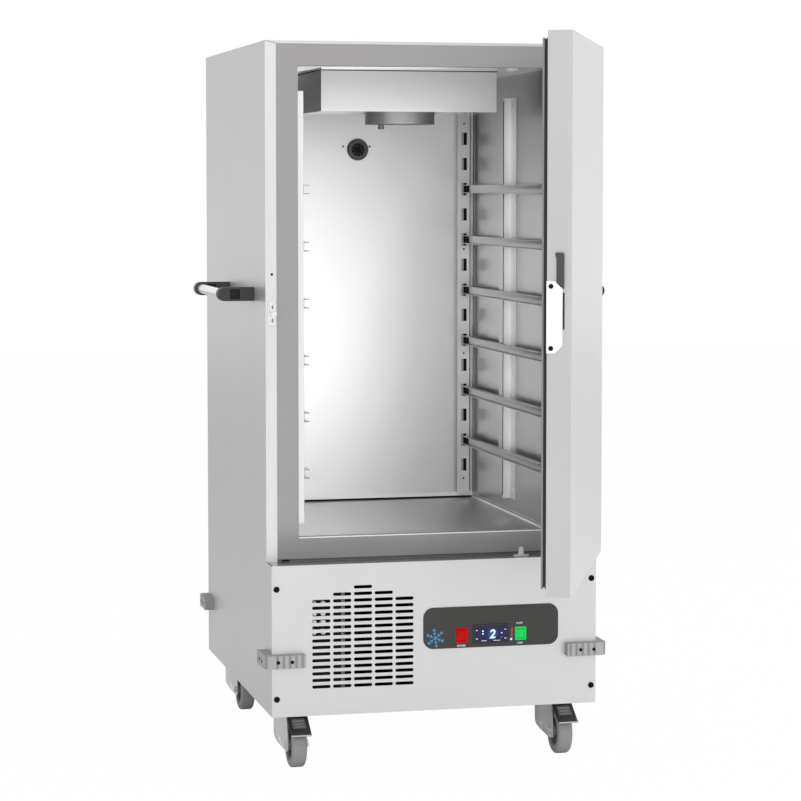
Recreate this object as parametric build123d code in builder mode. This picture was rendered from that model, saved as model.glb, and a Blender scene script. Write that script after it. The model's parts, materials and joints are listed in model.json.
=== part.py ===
from build123d import *

import os
from math import cos, radians, sin, sqrt

os.makedirs("parts", exist_ok=True)

# Refrigerated banquet cart, in millimetres.
# The origin is on the floor under the middle of the whole cart with its door at rest.
# X runs to the right as seen from the front, Y towards the back, Z up.

# Cabinet shell, folded from stainless sheet
cabinet_width = 720
cabinet_depth = 780
plinth_step = 60
top_z = 1558
skirt_z = 121.5
ledge_z = 446
sheet = 1
strip_width = 24
top_strip_height = 6.4
panel_return = 24

# Thermal break around the door opening
frame_side_width = 47
frame_head = 46
frame_sill = 51.5
frame_depth = 24
sill_groove_height = 5
sill_groove_depth = 3
drain_slot_width = 16.5
drain_slot_inset = 42.8

# Cold room
back_wall_depth = 61
floor_drop = 13.5
floor_upstand = 10
rear_gap_height = 8
rear_gap_depth = 12

# Uprights and tray runners
slot_pitch = 61.4
slot_start = 83
slot_width = 13
slot_height = 30
slot_inset = 22.6
rear_upright_depth = 17
rear_upright_inset = 12
rear_upright_width = 26
rear_upright_foot_gap = 12
rear_upright_head_gap = 80.6
upright_sheet = 1.5
front_upright_front = 37
front_upright_flange = 30
front_upright_foot_gap = 38
front_upright_head_gap = 52.6
mid_support_front = 333
runner_setback = 21
runner_height = 20
runner_flange = 12
runner_sheet = 1.5
runner_start = 40
runner_end_gap = 1
runner_rise = 0.5
hook_drop = 6
hook_reach = 4

# Evaporator, its cover and its fan
cover_width = 400
cover_front = 185
cover_rear = 450
cover_height = 91
coil_width = 330
coil_depth = 70
coil_height = 72
coil_front = 372
fin_count = 32
fan_y = 280
fan_ring_diameter = 157
fan_ring_wall = 4
fan_ring_height = 26
fan_motor_diameter = 46
fan_blade_gap = 4
fan_spoke_width = 8
fan_shaft_diameter = 8
fan_blade_count = 5
fan_blade_chord = 34
blade_thickness = 2
blade_root_twist = 38
blade_tip_twist = 24
sensor_x = -54
sensor_diameter = 14.5
sensor_height = 12
valve_drop = 167.6
valve_diameter = 52
valve_recess = 26
valve_thickness = 8

# Lower front panel: slots, control plate, thermostat and switches
louvre_width = 40.1
louvre_height = 7
louvre_pitch_x = 45.6
louvre_pitch_z = 14.15
louvre_left = -272.8
louvre_low_z = 183.3
louvre_rows = [14, 15, 16, 15, 14]
plate_left = -28.8
plate_width = 302.4
plate_low = 254.5
plate_height = 89.8
plate_corner = 22
plate_thickness = 2
display_left = 81.5
display_low = 262
display_width = 80.8
display_height = 42.3
display_proud = 2
display_body_margin = 3
display_body_depth = 60
vent_rows = 9
vent_columns = 4
vent_slot_height = 6
switch_bezel = 1.5
switch_lip = 2
switch_body_depth = 24
switch_wall = 1.5
red_switch_x = 55.1
red_switch_z = 282.7
red_switch_width = 26.5
red_switch_height = 33.4
green_switch_x = 188.2
green_switch_z = 281.5
green_switch_width = 24.8
green_switch_height = 29
rocker_gap = 0.3
rocker_pin_diameter = 3
rocker_tilt = 10
rocker_front_share = 0.55
rocker_middle_share = 0.28
rocker_back_share = 0.75
pivot_share = 0.35
panel_screw_diameter = 12
panel_screw_inset = 10.5
panel_screw_high = 396
panel_screw_low = 160

# Corner bumpers and push handles
bumper_proud = 20
bumper_height = 33
bumper_rise = 102.5
bumper_front_leg = 94
bumper_side_leg = 90
bumper_corner = 16
bumper_rib_pitch = 12
bumper_groove = 1.6
handle_rise = 569.5
handle_reach = 80
handle_arm_height = 30
handle_arm_width = 26
handle_front_y = 149
handle_spacing = 314
handle_tube_diameter = 21
handle_tube_reach = 65
handle_window_reach = 49
handle_window_width = 22
handle_window_height = 22
handle_window_depth = 9
handle_window_corner = 3

# Door, opening on two lift-off hinges at the right
door_reveal = 34.25
door_thickness = 48
door_foot_gap = 8.5
door_head_gap = 10
door_open_angle = 66.9
gasket_thickness = 11.7
gasket_width = 16
gasket_inset = 14
gasket_groove = 3
dish_rise = 4
dish_margin = 44
hinge_inset = 11.4
hinge_forward = 25.7
hinge_pin_diameter = 8
hinge_barrel_diameter = 16
hinge_length = 60
hinge_leaf = 3
hinge_leaf_width = 22
hinge_foot_gap = 75.5
hinge_head_gap = 76
hinge_arm = 6
running_gap = 0.05

# Latch on the free edge of the door, and its strike
latch_rise = 483
latch_height = 139
latch_setback = 17
latch_width = 31
latch_proud = 9
latch_chamfer = 15
lip_rise = 43
lip_height = 63
lip_reach = 12
lip_thickness = 3
lever_setback = 14.5
lever_width = 16.5
lever_rise = 194
lever_gap = 2
lever_thickness = 8
lever_root = 4
lever_root_gap = 0.3
lever_pin_diameter = 5
lever_pivot_in = 17
lever_pivot_down = 16
lever_hub_diameter = 10
lever_pocket = 8
lever_neck = 4
lever_head = 12
strike_inset = 12
strike_rise = 26.7
strike_width = 15
strike_height = 47.5
strike_thickness = 16
strike_nose = 12
strike_boss_share = 0.4
strike_slot_width = 4.5

# Centring cone on the ledge
cone_inset = 162.5
cone_forward = 33
cone_base_diameter = 14
cone_top_diameter = 9
cone_height = 20
cone_flange_length = 35
cone_flange_thickness = 3
cone_notch_gap = 3

# Casters
wheel_diameter = 100
wheel_width = 32
tread_round = 7
hub_diameter = 68
hub_length = 36
axle_diameter = 10
caster_trail = 35
caster_inset = 63
caster_front_y = 35
caster_rear_inset = 114
caster_plate = 4
caster_plate_length = 104
caster_plate_width = 84
race_diameter = 58
race_height = 7.7
fork_sheet = 3
fork_gap = 1
crown_clearance = 8
kingpin_diameter = 12
kingpin_head_diameter = 18
pedal_width = 45
pedal_root_width = 34
pedal_thickness = 3
pedal_bend_forward = 43
pedal_bend_z = 117
pedal_reach = 97
pedal_tip_z = 82
pedal_lip = 5
pedal_pivot_forward = 29
pedal_pivot_z = 112
pedal_pin_diameter = 4
pedal_barrel_diameter = 8

# Machine room
pan_sheet = 2
pan_flange = 22
pan_lift = 6.5
compressor_diameter = 150
compressor_height = 170
compressor_inset = 170
compressor_rear_inset = 300
compressor_foot = 14
tube_pitch_z = 20.2
tube_pitch_x = 20
tube_end_diameter = 12.6
tube_reach = 12
tube_rows = 4
condenser_inset = 103.7
top_tube_z = 360.2
condenser_depth = 280
condenser_thickness = 46
condenser_front = -40
shroud_sheet = 4
shroud_offset = 28
condenser_fan_diameter = 190
condenser_fan_depth = 26
condenser_blade_chord = 52
motor_strap = 4
gland_diameter = 22
gland_z = 170

# Places that follow from the sizes above
half_width = cabinet_width / 2
strip_inner = half_width - strip_width
opening_half = strip_inner - frame_side_width
opening_low_z = ledge_z + frame_sill
opening_high_z = top_z - top_strip_height - frame_head
cabin_floor_z = opening_low_z - floor_drop
cabin_depth = cabinet_depth - back_wall_depth
tray_gap = 2 * (opening_half - runner_setback)
pan_z = skirt_z + pan_lift
hinge_x = half_width - hinge_inset
door_width = cabinet_width - 2 * door_reveal
door_low_z = ledge_z + door_foot_gap
door_high_z = top_z - door_head_gap
door_height = door_high_z - door_low_z
door_face = hinge_forward - plinth_step
door_inner_face = door_face + door_thickness
door_edge = -(hinge_x - door_width / 2)
door_free_edge = door_edge - door_width

# The cart's foremost point is the outer free corner of the open door or the lip of its latch
opening = radians(door_open_angle)
corner_reach = -door_free_edge * sin(opening) - door_face * cos(opening)
lip_reach_out = (lip_reach - door_free_edge) * sin(opening) - (door_face + latch_setback) * cos(opening)
door_reach = max(corner_reach, lip_reach_out) + hinge_forward
front_y = (door_reach - cabinet_depth - bumper_proud) / 2
back_y = front_y + cabinet_depth
plinth_y = front_y - plinth_step
cabin_back_y = front_y + cabin_depth
hinge_y = front_y - hinge_forward

door_frame = Plane(
    origin=(hinge_x, hinge_y, 0),
    x_dir=(cos(opening), sin(opening), 0),
    z_dir=(0, 0, 1),
)


def facing_front(y):
    """Sketch plane at a depth: X to the right, Z up, extruding towards the front."""
    return Plane.XZ.offset(-y)


def facing_right(x):
    """Sketch plane at a side: Y to the right, Z up, extruding towards +X."""
    return Plane.YZ.offset(x)


def patch(left, right, low, high, mode=Mode.ADD):
    """Rectangle in a sketch, given by its four limits."""
    with Locations(((left + right) / 2, (low + high) / 2)):
        Rectangle(right - left, high - low, mode=mode)


def outline(*points):
    """Filled polygon through the points of a sketch."""
    Polygon(*points, align=None)


def save(piece, name):
    """Label a finished piece and write it under its own name."""
    piece.part.label = name
    export_step(piece.part, f"parts/{name}.step")


# Side panels: one folded sheet each, with a front return above and below the ledge
side_outline = [
    (plinth_y + sheet, skirt_z),
    (plinth_y + sheet, ledge_z - sheet),
    (front_y, ledge_z - sheet),
    (front_y, top_z),
    (back_y, top_z),
    (back_y, skirt_z),
]
mitre_slope = top_strip_height / strip_width

with BuildPart() as left_side_panel:
    with BuildSketch(facing_right(-half_width)):
        outline(*side_outline)
    extrude(amount=sheet)
    with BuildSketch(facing_front(front_y + sheet)):
        outline(
            (-half_width, ledge_z),
            (-strip_inner, ledge_z),
            (-strip_inner, top_z - top_strip_height),
            (-half_width, top_z),
        )
    extrude(amount=sheet)
    with BuildSketch(facing_front(plinth_y + 2 * sheet)):
        patch(-half_width, panel_return - half_width, skirt_z, ledge_z - sheet)
    extrude(amount=sheet)
save(left_side_panel, "left_side_panel")

with BuildPart() as right_side_panel:
    mirror(left_side_panel.part, about=Plane.YZ)
save(right_side_panel, "right_side_panel")

# Top panel between the side panels, with a mitred front lip
with BuildPart() as top_panel:
    with BuildSketch(Plane.XY.offset(top_z - sheet)):
        patch(sheet - half_width, half_width - sheet, front_y + sheet, back_y - sheet)
    extrude(amount=sheet)
    with BuildSketch(facing_front(front_y + sheet)):
        outline(
            (-strip_inner, top_z - top_strip_height),
            (strip_inner, top_z - top_strip_height),
            (half_width - sheet, top_z - sheet * mitre_slope),
            (half_width - sheet, top_z),
            (sheet - half_width, top_z),
            (sheet - half_width, top_z - sheet * mitre_slope),
        )
    extrude(amount=sheet)
save(top_panel, "top_panel")

# Back panel, with two fields of vent slots over the machine room
with BuildPart() as back_panel:
    with BuildSketch(facing_front(back_y)):
        patch(sheet - half_width, half_width - sheet, skirt_z, top_z)
        with Locations((0, (pan_z + ledge_z) / 2)):
            with GridLocations(3 * louvre_pitch_x, 2 * louvre_pitch_z, vent_columns, vent_rows):
                SlotOverall(2 * louvre_width, vent_slot_height, mode=Mode.SUBTRACT)
    extrude(amount=sheet)
save(back_panel, "back_panel")

# Deck between the cold room and the machine room
with BuildPart() as deck_panel:
    with BuildSketch(Plane.XY.offset(ledge_z - sheet)):
        patch(sheet - half_width, half_width - sheet, front_y, back_y - sheet)
    extrude(amount=sheet)
save(deck_panel, "deck_panel")

# Grey moulded frame that breaks the cold path between the shell and the liner
with BuildPart() as breaker_frame:
    with BuildSketch(facing_front(front_y + frame_depth)):
        patch(-strip_inner, strip_inner, ledge_z, top_z - top_strip_height)
        patch(-opening_half, opening_half, opening_low_z, opening_high_z, mode=Mode.SUBTRACT)
    extrude(amount=frame_depth)
    with BuildSketch(facing_front(front_y + sill_groove_depth)):
        patch(-strip_inner, strip_inner, ledge_z, ledge_z + sill_groove_height)
    extrude(amount=sill_groove_depth, mode=Mode.SUBTRACT)
    with BuildSketch(facing_front(front_y + frame_depth)):
        with Locations((drain_slot_inset - half_width, ledge_z + sill_groove_height / 2)):
            Rectangle(drain_slot_width, sill_groove_height)
    extrude(amount=frame_depth, mode=Mode.SUBTRACT)
save(breaker_frame, "breaker_frame")

# Liner: two side walls, back wall and ceiling, riveted from plain sheets
liner_front = front_y + frame_depth
liner_top = opening_high_z + sheet
back_wall_low = cabin_floor_z + rear_gap_height
with BuildPart() as liner_walls:
    with BuildSketch(Plane.XY.offset(cabin_floor_z - sheet)):
        patch(-opening_half - sheet, -opening_half, liner_front, cabin_back_y + sheet)
        patch(opening_half, opening_half + sheet, liner_front, cabin_back_y + sheet)
    extrude(amount=liner_top - cabin_floor_z + sheet)
    with BuildSketch(facing_front(cabin_back_y + sheet)):
        patch(-opening_half, opening_half, back_wall_low, opening_high_z)
    extrude(amount=sheet)
    with BuildSketch(Plane.XY.offset(opening_high_z)):
        patch(-opening_half, opening_half, liner_front, cabin_back_y + sheet)
    extrude(amount=sheet)
save(liner_walls, "liner_walls")

# Floor pan with upstands at its sides and back, running under the back wall
pan_back_y = cabin_back_y + sheet + rear_gap_depth
with BuildPart() as liner_floor_pan:
    with BuildSketch(facing_front(pan_back_y)):
        patch(-opening_half, opening_half, cabin_floor_z - sheet, cabin_floor_z + floor_upstand)
        patch(
            sheet - opening_half,
            opening_half - sheet,
            cabin_floor_z,
            cabin_floor_z + floor_upstand,
            mode=Mode.SUBTRACT,
        )
    extrude(amount=pan_back_y - liner_front)
    with BuildSketch(facing_front(pan_back_y)):
        patch(sheet - opening_half, opening_half - sheet, cabin_floor_z, back_wall_low - sheet / 2)
    extrude(amount=sheet)
    with BuildSketch(facing_front(pan_back_y)):
        patch(-opening_half, opening_half, back_wall_low - sheet / 2, cabin_floor_z + floor_upstand)
    extrude(amount=pan_back_y - cabin_back_y, mode=Mode.SUBTRACT)
save(liner_floor_pan, "liner_floor_pan")

# Foam slabs that fill the walls between the shell and the liner
foam_side_outer = half_width - sheet
foam_side_inner = opening_half + sheet
foam_top = top_z - sheet
foam_back = back_y - sheet
with BuildPart() as foam_insulation:
    with BuildSketch(Plane.XY.offset(ledge_z)):
        patch(-foam_side_outer, -foam_side_inner, liner_front, foam_back)
        patch(foam_side_inner, foam_side_outer, liner_front, foam_back)
    extrude(amount=liner_top - ledge_z)
    with BuildSketch(Plane.XY.offset(liner_top)):
        patch(-foam_side_outer, foam_side_outer, liner_front, foam_back)
    extrude(amount=foam_top - liner_top)
    with BuildSketch(Plane.XY.offset(ledge_z)):
        patch(-foam_side_inner, foam_side_inner, liner_front, pan_back_y)
    extrude(amount=cabin_floor_z - sheet - ledge_z)
    with BuildSketch(Plane.XY.offset(ledge_z)):
        patch(-foam_side_inner, foam_side_inner, pan_back_y, foam_back)
    extrude(amount=liner_top - ledge_z)
    with BuildSketch(Plane.XY.offset(cabin_floor_z + floor_upstand)):
        patch(-foam_side_inner, foam_side_inner, cabin_back_y + sheet, pan_back_y)
    extrude(amount=liner_top - cabin_floor_z - floor_upstand)
save(foam_insulation, "foam_insulation")

# Lower front panel: air slots in five columns, and the cut-outs for the controls
display_x = display_left + display_width / 2
display_z = display_low + display_height / 2
display_body_width = display_width - 2 * display_body_margin
display_body_height = display_height - 2 * display_body_margin
switches = {
    "red": (red_switch_x, red_switch_z, red_switch_width, red_switch_height),
    "green": (green_switch_x, green_switch_z, green_switch_width, green_switch_height),
}
panel_screw_x = half_width - panel_screw_inset
screw_places = [
    (side * panel_screw_x, z) for side in (-1, 1) for z in (panel_screw_low, panel_screw_high)
]
screw_shank = panel_screw_diameter / 2


def control_cutouts():
    """Openings for the thermostat body and the two switch bodies."""
    with Locations((display_x, display_z)):
        Rectangle(display_body_width, display_body_height, mode=Mode.SUBTRACT)
    for switch_x, switch_z, width, height in switches.values():
        with Locations((switch_x, switch_z)):
            Rectangle(width - 2 * switch_lip, height - 2 * switch_lip, mode=Mode.SUBTRACT)


with BuildPart() as lower_front_panel:
    with BuildSketch(facing_front(plinth_y + sheet)):
        patch(-half_width, half_width, skirt_z, ledge_z)
        for column, rows in enumerate(louvre_rows):
            column_x = louvre_left + louvre_width / 2 + column * louvre_pitch_x
            column_z = louvre_low_z + (rows - 1) / 2 * louvre_pitch_z
            with Locations((column_x, column_z)):
                with GridLocations(louvre_pitch_x, louvre_pitch_z, 1, rows):
                    SlotOverall(louvre_width, louvre_height, mode=Mode.SUBTRACT)
        with Locations(*screw_places):
            Circle(screw_shank / 2 + running_gap, mode=Mode.SUBTRACT)
        control_cutouts()
    extrude(amount=sheet)
    with BuildSketch(Plane.XY.offset(ledge_z - sheet)):
        patch(-half_width, half_width, plinth_y, front_y)
    extrude(amount=sheet)
save(lower_front_panel, "lower_front_panel")

# Domed black screws that hold the lower front panel to the returns of the side panels
with BuildPart() as panel_screws:
    with BuildSketch(facing_front(plinth_y + sheet)):
        with Locations(*screw_places):
            Circle(screw_shank / 2)
    extrude(amount=sheet)
    with BuildSketch(facing_front(plinth_y)):
        with Locations(*screw_places):
            Circle(panel_screw_diameter / 2)
    extrude(amount=panel_screw_diameter / 4)
    heads = panel_screws.edges().filter_by(GeomType.CIRCLE).group_by(Axis.Y)[0]
    fillet(heads, panel_screw_diameter / 5)
save(panel_screws, "panel_screws")

# Control plate with its rounded corners
plate_z = plate_low + plate_height / 2
plate_x = plate_left + plate_width / 2
with BuildPart() as control_plate:
    with BuildSketch(facing_front(plinth_y)):
        with Locations((plate_x, plate_z)):
            RectangleRounded(plate_width, plate_height, plate_corner)
        control_cutouts()
    extrude(amount=plate_thickness)
    rim = control_plate.faces().sort_by(Axis.Y)[0].outer_wire().edges()
    fillet(rim, plate_thickness / 3)
save(control_plate, "control_plate")

# Thermostat: bezel in front of the plate, body through it
control_face_y = plinth_y - plate_thickness
with BuildPart() as thermostat:
    with BuildSketch(facing_front(control_face_y)):
        with Locations((display_x, display_z)):
            RectangleRounded(display_width, display_height, display_body_margin)
    extrude(amount=display_proud)
    bezel_rim = thermostat.faces().sort_by(Axis.Y)[0].outer_wire().edges()
    fillet(bezel_rim, display_proud / 2)
    with BuildSketch(facing_front(control_face_y + display_body_depth)):
        with Locations((display_x, display_z)):
            Rectangle(display_body_width, display_body_height)
    extrude(amount=display_body_depth)
save(thermostat, "thermostat")


# Rocker switches: a bezel with an open housing, and a rocker on two short pins.
# The rocker's ends run on an arc about its pins, so its gap stays the same as it tilts.
def rocker_radius(height):
    return height / 2 - switch_lip - switch_wall - rocker_gap


def rocker_width(width):
    return width - 2 * (switch_lip + switch_wall + rocker_gap)


def pivot_depth(height):
    """How far the pins lie behind the face of the bezel."""
    return rocker_radius(height) * pivot_share


with BuildPart() as rocker_frames:
    for switch_x, switch_z, width, height in switches.values():
        inner_width = width - 2 * (switch_lip + switch_wall)
        inner_height = height - 2 * (switch_lip + switch_wall)
        with BuildSketch(facing_front(control_face_y)):
            with Locations((switch_x, switch_z)):
                RectangleRounded(width, height, switch_lip)
        extrude(amount=switch_bezel)
        with BuildSketch(facing_front(control_face_y + switch_body_depth)):
            with Locations((switch_x, switch_z)):
                Rectangle(width - 2 * switch_lip, height - 2 * switch_lip)
        extrude(amount=switch_body_depth)
        with BuildSketch(facing_front(control_face_y + switch_body_depth - switch_wall)):
            with Locations((switch_x, switch_z)):
                Rectangle(inner_width, inner_height)
        extrude(amount=switch_body_depth + switch_bezel, mode=Mode.SUBTRACT)
        pin_y = control_face_y - switch_bezel + pivot_depth(height)
        with BuildSketch(facing_right(switch_x - inner_width / 2 - switch_wall)):
            with Locations((pin_y, switch_z)):
                Circle(rocker_pin_diameter / 2 + running_gap)
        extrude(amount=inner_width + 2 * switch_wall, mode=Mode.SUBTRACT)
save(rocker_frames, "rocker_frames")


def rocker(switch_x, switch_z, width, height):
    """One rocker: drum ends, a shallow V in front, tilted so that its top is pressed in."""
    radius = rocker_radius(height)
    body = rocker_width(width)
    depth = pivot_depth(height)
    front_proud = radius * rocker_front_share
    middle_proud = radius * rocker_middle_share
    cut_y = radius * rocker_back_share
    edge_z = sqrt(radius**2 - front_proud**2)
    pivot = Plane(
        origin=(switch_x - body / 2, control_face_y - switch_bezel + depth, switch_z),
        x_dir=(0, cos(radians(rocker_tilt)), sin(radians(rocker_tilt))),
        z_dir=(1, 0, 0),
    )
    with BuildPart() as piece:
        with BuildSketch(pivot):
            Circle(radius)
            Polygon(
                (-2 * radius, -edge_z),
                (-front_proud, -edge_z),
                (-middle_proud, 0),
                (-front_proud, edge_z),
                (-2 * radius, edge_z),
                align=None,
                mode=Mode.SUBTRACT,
            )
            patch(-2 * radius, -front_proud, -radius, radius, mode=Mode.SUBTRACT)
            patch(cut_y, 2 * radius, -radius, radius, mode=Mode.SUBTRACT)
        extrude(amount=body)
        pin_end = rocker_gap + switch_wall
        with BuildSketch(pivot.offset(-pin_end)):
            Circle(rocker_pin_diameter / 2)
        extrude(amount=body + 2 * pin_end)
    return piece


red_rocker = rocker(*switches["red"])
save(red_rocker, "red_rocker")
green_rocker = rocker(*switches["green"])
save(green_rocker, "green_rocker")

# Base pan that carries the machinery and the casters
with BuildPart() as base_pan:
    with BuildSketch(Plane.XY.offset(pan_z)):
        patch(sheet - half_width, half_width - sheet, plinth_y + 2 * sheet, back_y - sheet)
    extrude(amount=pan_flange)
    with BuildSketch(Plane.XY.offset(pan_z + pan_sheet)):
        patch(
            sheet + pan_sheet - half_width,
            half_width - sheet - pan_sheet,
            plinth_y + 2 * sheet + pan_sheet,
            back_y - sheet - pan_sheet,
        )
    extrude(amount=pan_flange, mode=Mode.SUBTRACT)
save(base_pan, "base_pan")


# Corner bumpers: ribbed rubber angles that wrap the four corners above the casters
bumper_z = skirt_z + bumper_rise


def bumper(corner_y, away):
    """Right-hand bumper at one corner; away is -1 at the front and 1 at the back."""
    outer_x = half_width + bumper_proud
    outer_y = corner_y + away * bumper_proud
    with BuildPart() as piece:
        with BuildSketch(Plane.XY.offset(bumper_z)):
            outline(
                (outer_x - bumper_front_leg, corner_y),
                (outer_x - bumper_front_leg, outer_y),
                (outer_x, outer_y),
                (outer_x, outer_y - away * bumper_side_leg),
                (half_width, outer_y - away * bumper_side_leg),
                (half_width, corner_y),
            )
        extrude(amount=bumper_height)
        outer_corner = piece.edges().filter_by(Axis.Z).sort_by(
            Axis((0, 0, 0), (1, away, 0))
        )[-1]
        fillet(outer_corner, bumper_corner)
        front_ribs = int((bumper_front_leg - bumper_corner) / bumper_rib_pitch)
        side_ribs = int((bumper_side_leg - bumper_corner) / bumper_rib_pitch)
        groove_places = [
            (outer_x - bumper_front_leg + (i + 0.5) * bumper_rib_pitch, outer_y)
            for i in range(front_ribs)
        ] + [
            (outer_x, outer_y - away * (bumper_side_leg - (i + 0.5) * bumper_rib_pitch))
            for i in range(side_ribs)
        ]
        with BuildSketch(Plane.XY.offset(bumper_z)):
            with Locations(*groove_places):
                Rectangle(2 * bumper_groove, 2 * bumper_groove)
        extrude(amount=bumper_height, mode=Mode.SUBTRACT)
    return piece


front_bumper = bumper(plinth_y, -1)
rear_bumper = bumper(back_y, 1)
with BuildPart() as corner_bumpers:
    add(front_bumper.part)
    add(rear_bumper.part)
    mirror(front_bumper.part, about=Plane.YZ)
    mirror(rear_bumper.part, about=Plane.YZ)
save(corner_bumpers, "corner_bumpers")

# Push handles: two moulded arms on each side and a steel tube between them
arm_ys = [front_y + handle_front_y, front_y + handle_front_y + handle_spacing]
tube_socket = handle_arm_width / 2
handle_z = ledge_z + handle_rise
arm_low_z = handle_z - handle_arm_height / 2
arm_end_x = half_width + handle_reach - handle_arm_height / 2
window_x = half_width + handle_reach - handle_window_reach + handle_window_width / 2
with BuildPart() as right_arms:
    for index, arm_y in enumerate(arm_ys):
        with BuildSketch(facing_front(arm_y + handle_arm_width / 2)):
            patch(half_width, arm_end_x, arm_low_z, arm_low_z + handle_arm_height)
            with Locations((arm_end_x, handle_z)):
                Circle(handle_arm_height / 2)
        extrude(amount=handle_arm_width)
        arm_front_y = arm_y - handle_arm_width / 2
        arm_back_y = arm_y + handle_arm_width / 2
        for window_back_y in (arm_front_y + handle_window_depth, arm_back_y):
            with BuildSketch(facing_front(window_back_y)):
                with Locations((window_x, handle_z)):
                    RectangleRounded(
                        handle_window_width, handle_window_height, handle_window_corner
                    )
            extrude(amount=handle_window_depth, mode=Mode.SUBTRACT)
        socket_start = arm_y if index == 0 else arm_front_y
        with BuildSketch(facing_front(socket_start + tube_socket)):
            with Locations((half_width + handle_tube_reach, handle_z)):
                Circle(handle_tube_diameter / 2 + running_gap)
        extrude(amount=tube_socket, mode=Mode.SUBTRACT)
with BuildPart() as handle_arms:
    add(right_arms.part)
    mirror(right_arms.part, about=Plane.YZ)
save(handle_arms, "handle_arms")

with BuildPart() as handle_tubes:
    with BuildSketch(facing_front(arm_ys[1])):
        with Locations(
            (half_width + handle_tube_reach, handle_z),
            (-half_width - handle_tube_reach, handle_z),
        ):
            Circle(handle_tube_diameter / 2)
    extrude(amount=handle_spacing)
save(handle_tubes, "handle_tubes")

# Front uprights: angles on the side walls that carry the front ends of the runners
runner_outer = tray_gap / 2 + runner_sheet
front_face_y = front_y + front_upright_front
front_upright_low = cabin_floor_z + front_upright_foot_gap
front_upright_high = opening_high_z - front_upright_head_gap
with BuildPart() as right_front_upright:
    with BuildSketch(Plane.XY.offset(front_upright_low)):
        patch(runner_outer, opening_half, front_face_y, front_face_y + upright_sheet)
        patch(
            opening_half - upright_sheet,
            opening_half,
            front_face_y,
            front_face_y + front_upright_flange,
        )
    extrude(amount=front_upright_high - front_upright_low)
with BuildPart() as front_uprights:
    add(right_front_upright.part)
    mirror(right_front_upright.part, about=Plane.YZ)
save(front_uprights, "front_uprights")

# Plain mid supports, the same angle further back
mid_face_y = front_y + mid_support_front
with BuildPart() as right_mid_support:
    with BuildSketch(Plane.XY.offset(front_upright_low)):
        patch(runner_outer, opening_half, mid_face_y, mid_face_y + upright_sheet)
        patch(
            opening_half - upright_sheet,
            opening_half,
            mid_face_y,
            mid_face_y + front_upright_flange,
        )
    extrude(amount=front_upright_high - front_upright_low)
with BuildPart() as mid_supports:
    add(right_mid_support.part)
    mirror(right_mid_support.part, about=Plane.YZ)
save(mid_supports, "mid_supports")

# Rear uprights: Z-sections off the back wall with a column of hanging slots
rear_face_y = cabin_back_y - rear_upright_depth
rear_upright_low = cabin_floor_z + rear_upright_foot_gap
rear_upright_high = opening_high_z - rear_upright_head_gap
rear_upright_outer = opening_half - rear_upright_inset
rear_upright_inner = rear_upright_outer - rear_upright_width
slot_x = opening_half - slot_inset
first_slot_z = cabin_floor_z + slot_start
slot_count = int((rear_upright_high - first_slot_z) / slot_pitch) + 1
with BuildPart() as right_rear_upright:
    with BuildSketch(Plane.XY.offset(rear_upright_low)):
        patch(rear_upright_inner, rear_upright_outer, rear_face_y, rear_face_y + upright_sheet)
        patch(
            rear_upright_outer - upright_sheet,
            rear_upright_outer,
            rear_face_y,
            cabin_back_y,
        )
        patch(
            rear_upright_outer - upright_sheet,
            opening_half - upright_sheet,
            cabin_back_y - upright_sheet,
            cabin_back_y,
        )
    extrude(amount=rear_upright_high - rear_upright_low)
    with BuildSketch(facing_front(rear_face_y + upright_sheet)):
        with Locations((slot_x, first_slot_z + (slot_count - 1) / 2 * slot_pitch)):
            with GridLocations(slot_pitch, slot_pitch, 1, slot_count):
                Rectangle(slot_width, slot_height)
    extrude(amount=upright_sheet, mode=Mode.SUBTRACT)
with BuildPart() as rear_uprights:
    add(right_rear_upright.part)
    mirror(right_rear_upright.part, about=Plane.YZ)
save(rear_uprights, "rear_uprights")

# Tray runners: channels open to the middle, hooked into every second slot at the back
runner_front_y = front_y + runner_start
runner_back_y = rear_face_y - runner_end_gap
runner_levels = (slot_count - 1) // 2
runner_levels_z = [
    first_slot_z + (1 + 2 * level) * slot_pitch + runner_rise for level in range(runner_levels)
]
with BuildPart() as right_runners:
    for level_z in runner_levels_z:
        with BuildSketch(facing_front(runner_back_y)):
            patch(
                tray_gap / 2 - runner_flange,
                runner_outer,
                level_z - runner_height / 2,
                level_z + runner_height / 2,
            )
            patch(
                tray_gap / 2 - runner_flange,
                tray_gap / 2,
                level_z - runner_height / 2 + runner_sheet,
                level_z + runner_height / 2 - runner_sheet,
                mode=Mode.SUBTRACT,
            )
        extrude(amount=runner_back_y - runner_front_y)
        hook_top = level_z + runner_height / 2
        slot_foot = level_z - runner_rise - slot_height / 2
        hook_back_y = rear_face_y + upright_sheet + hook_reach
        with BuildSketch(facing_right(tray_gap / 2)):
            outline(
                (runner_back_y, slot_foot),
                (rear_face_y + upright_sheet + running_gap, slot_foot),
                (rear_face_y + upright_sheet + running_gap, slot_foot - hook_drop),
                (hook_back_y, slot_foot - hook_drop),
                (hook_back_y, hook_top),
                (runner_back_y, hook_top),
            )
        extrude(amount=runner_sheet)
save(right_runners, "right_runners")

with BuildPart() as left_runners:
    mirror(right_runners.part, about=Plane.YZ)
save(left_runners, "left_runners")

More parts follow.
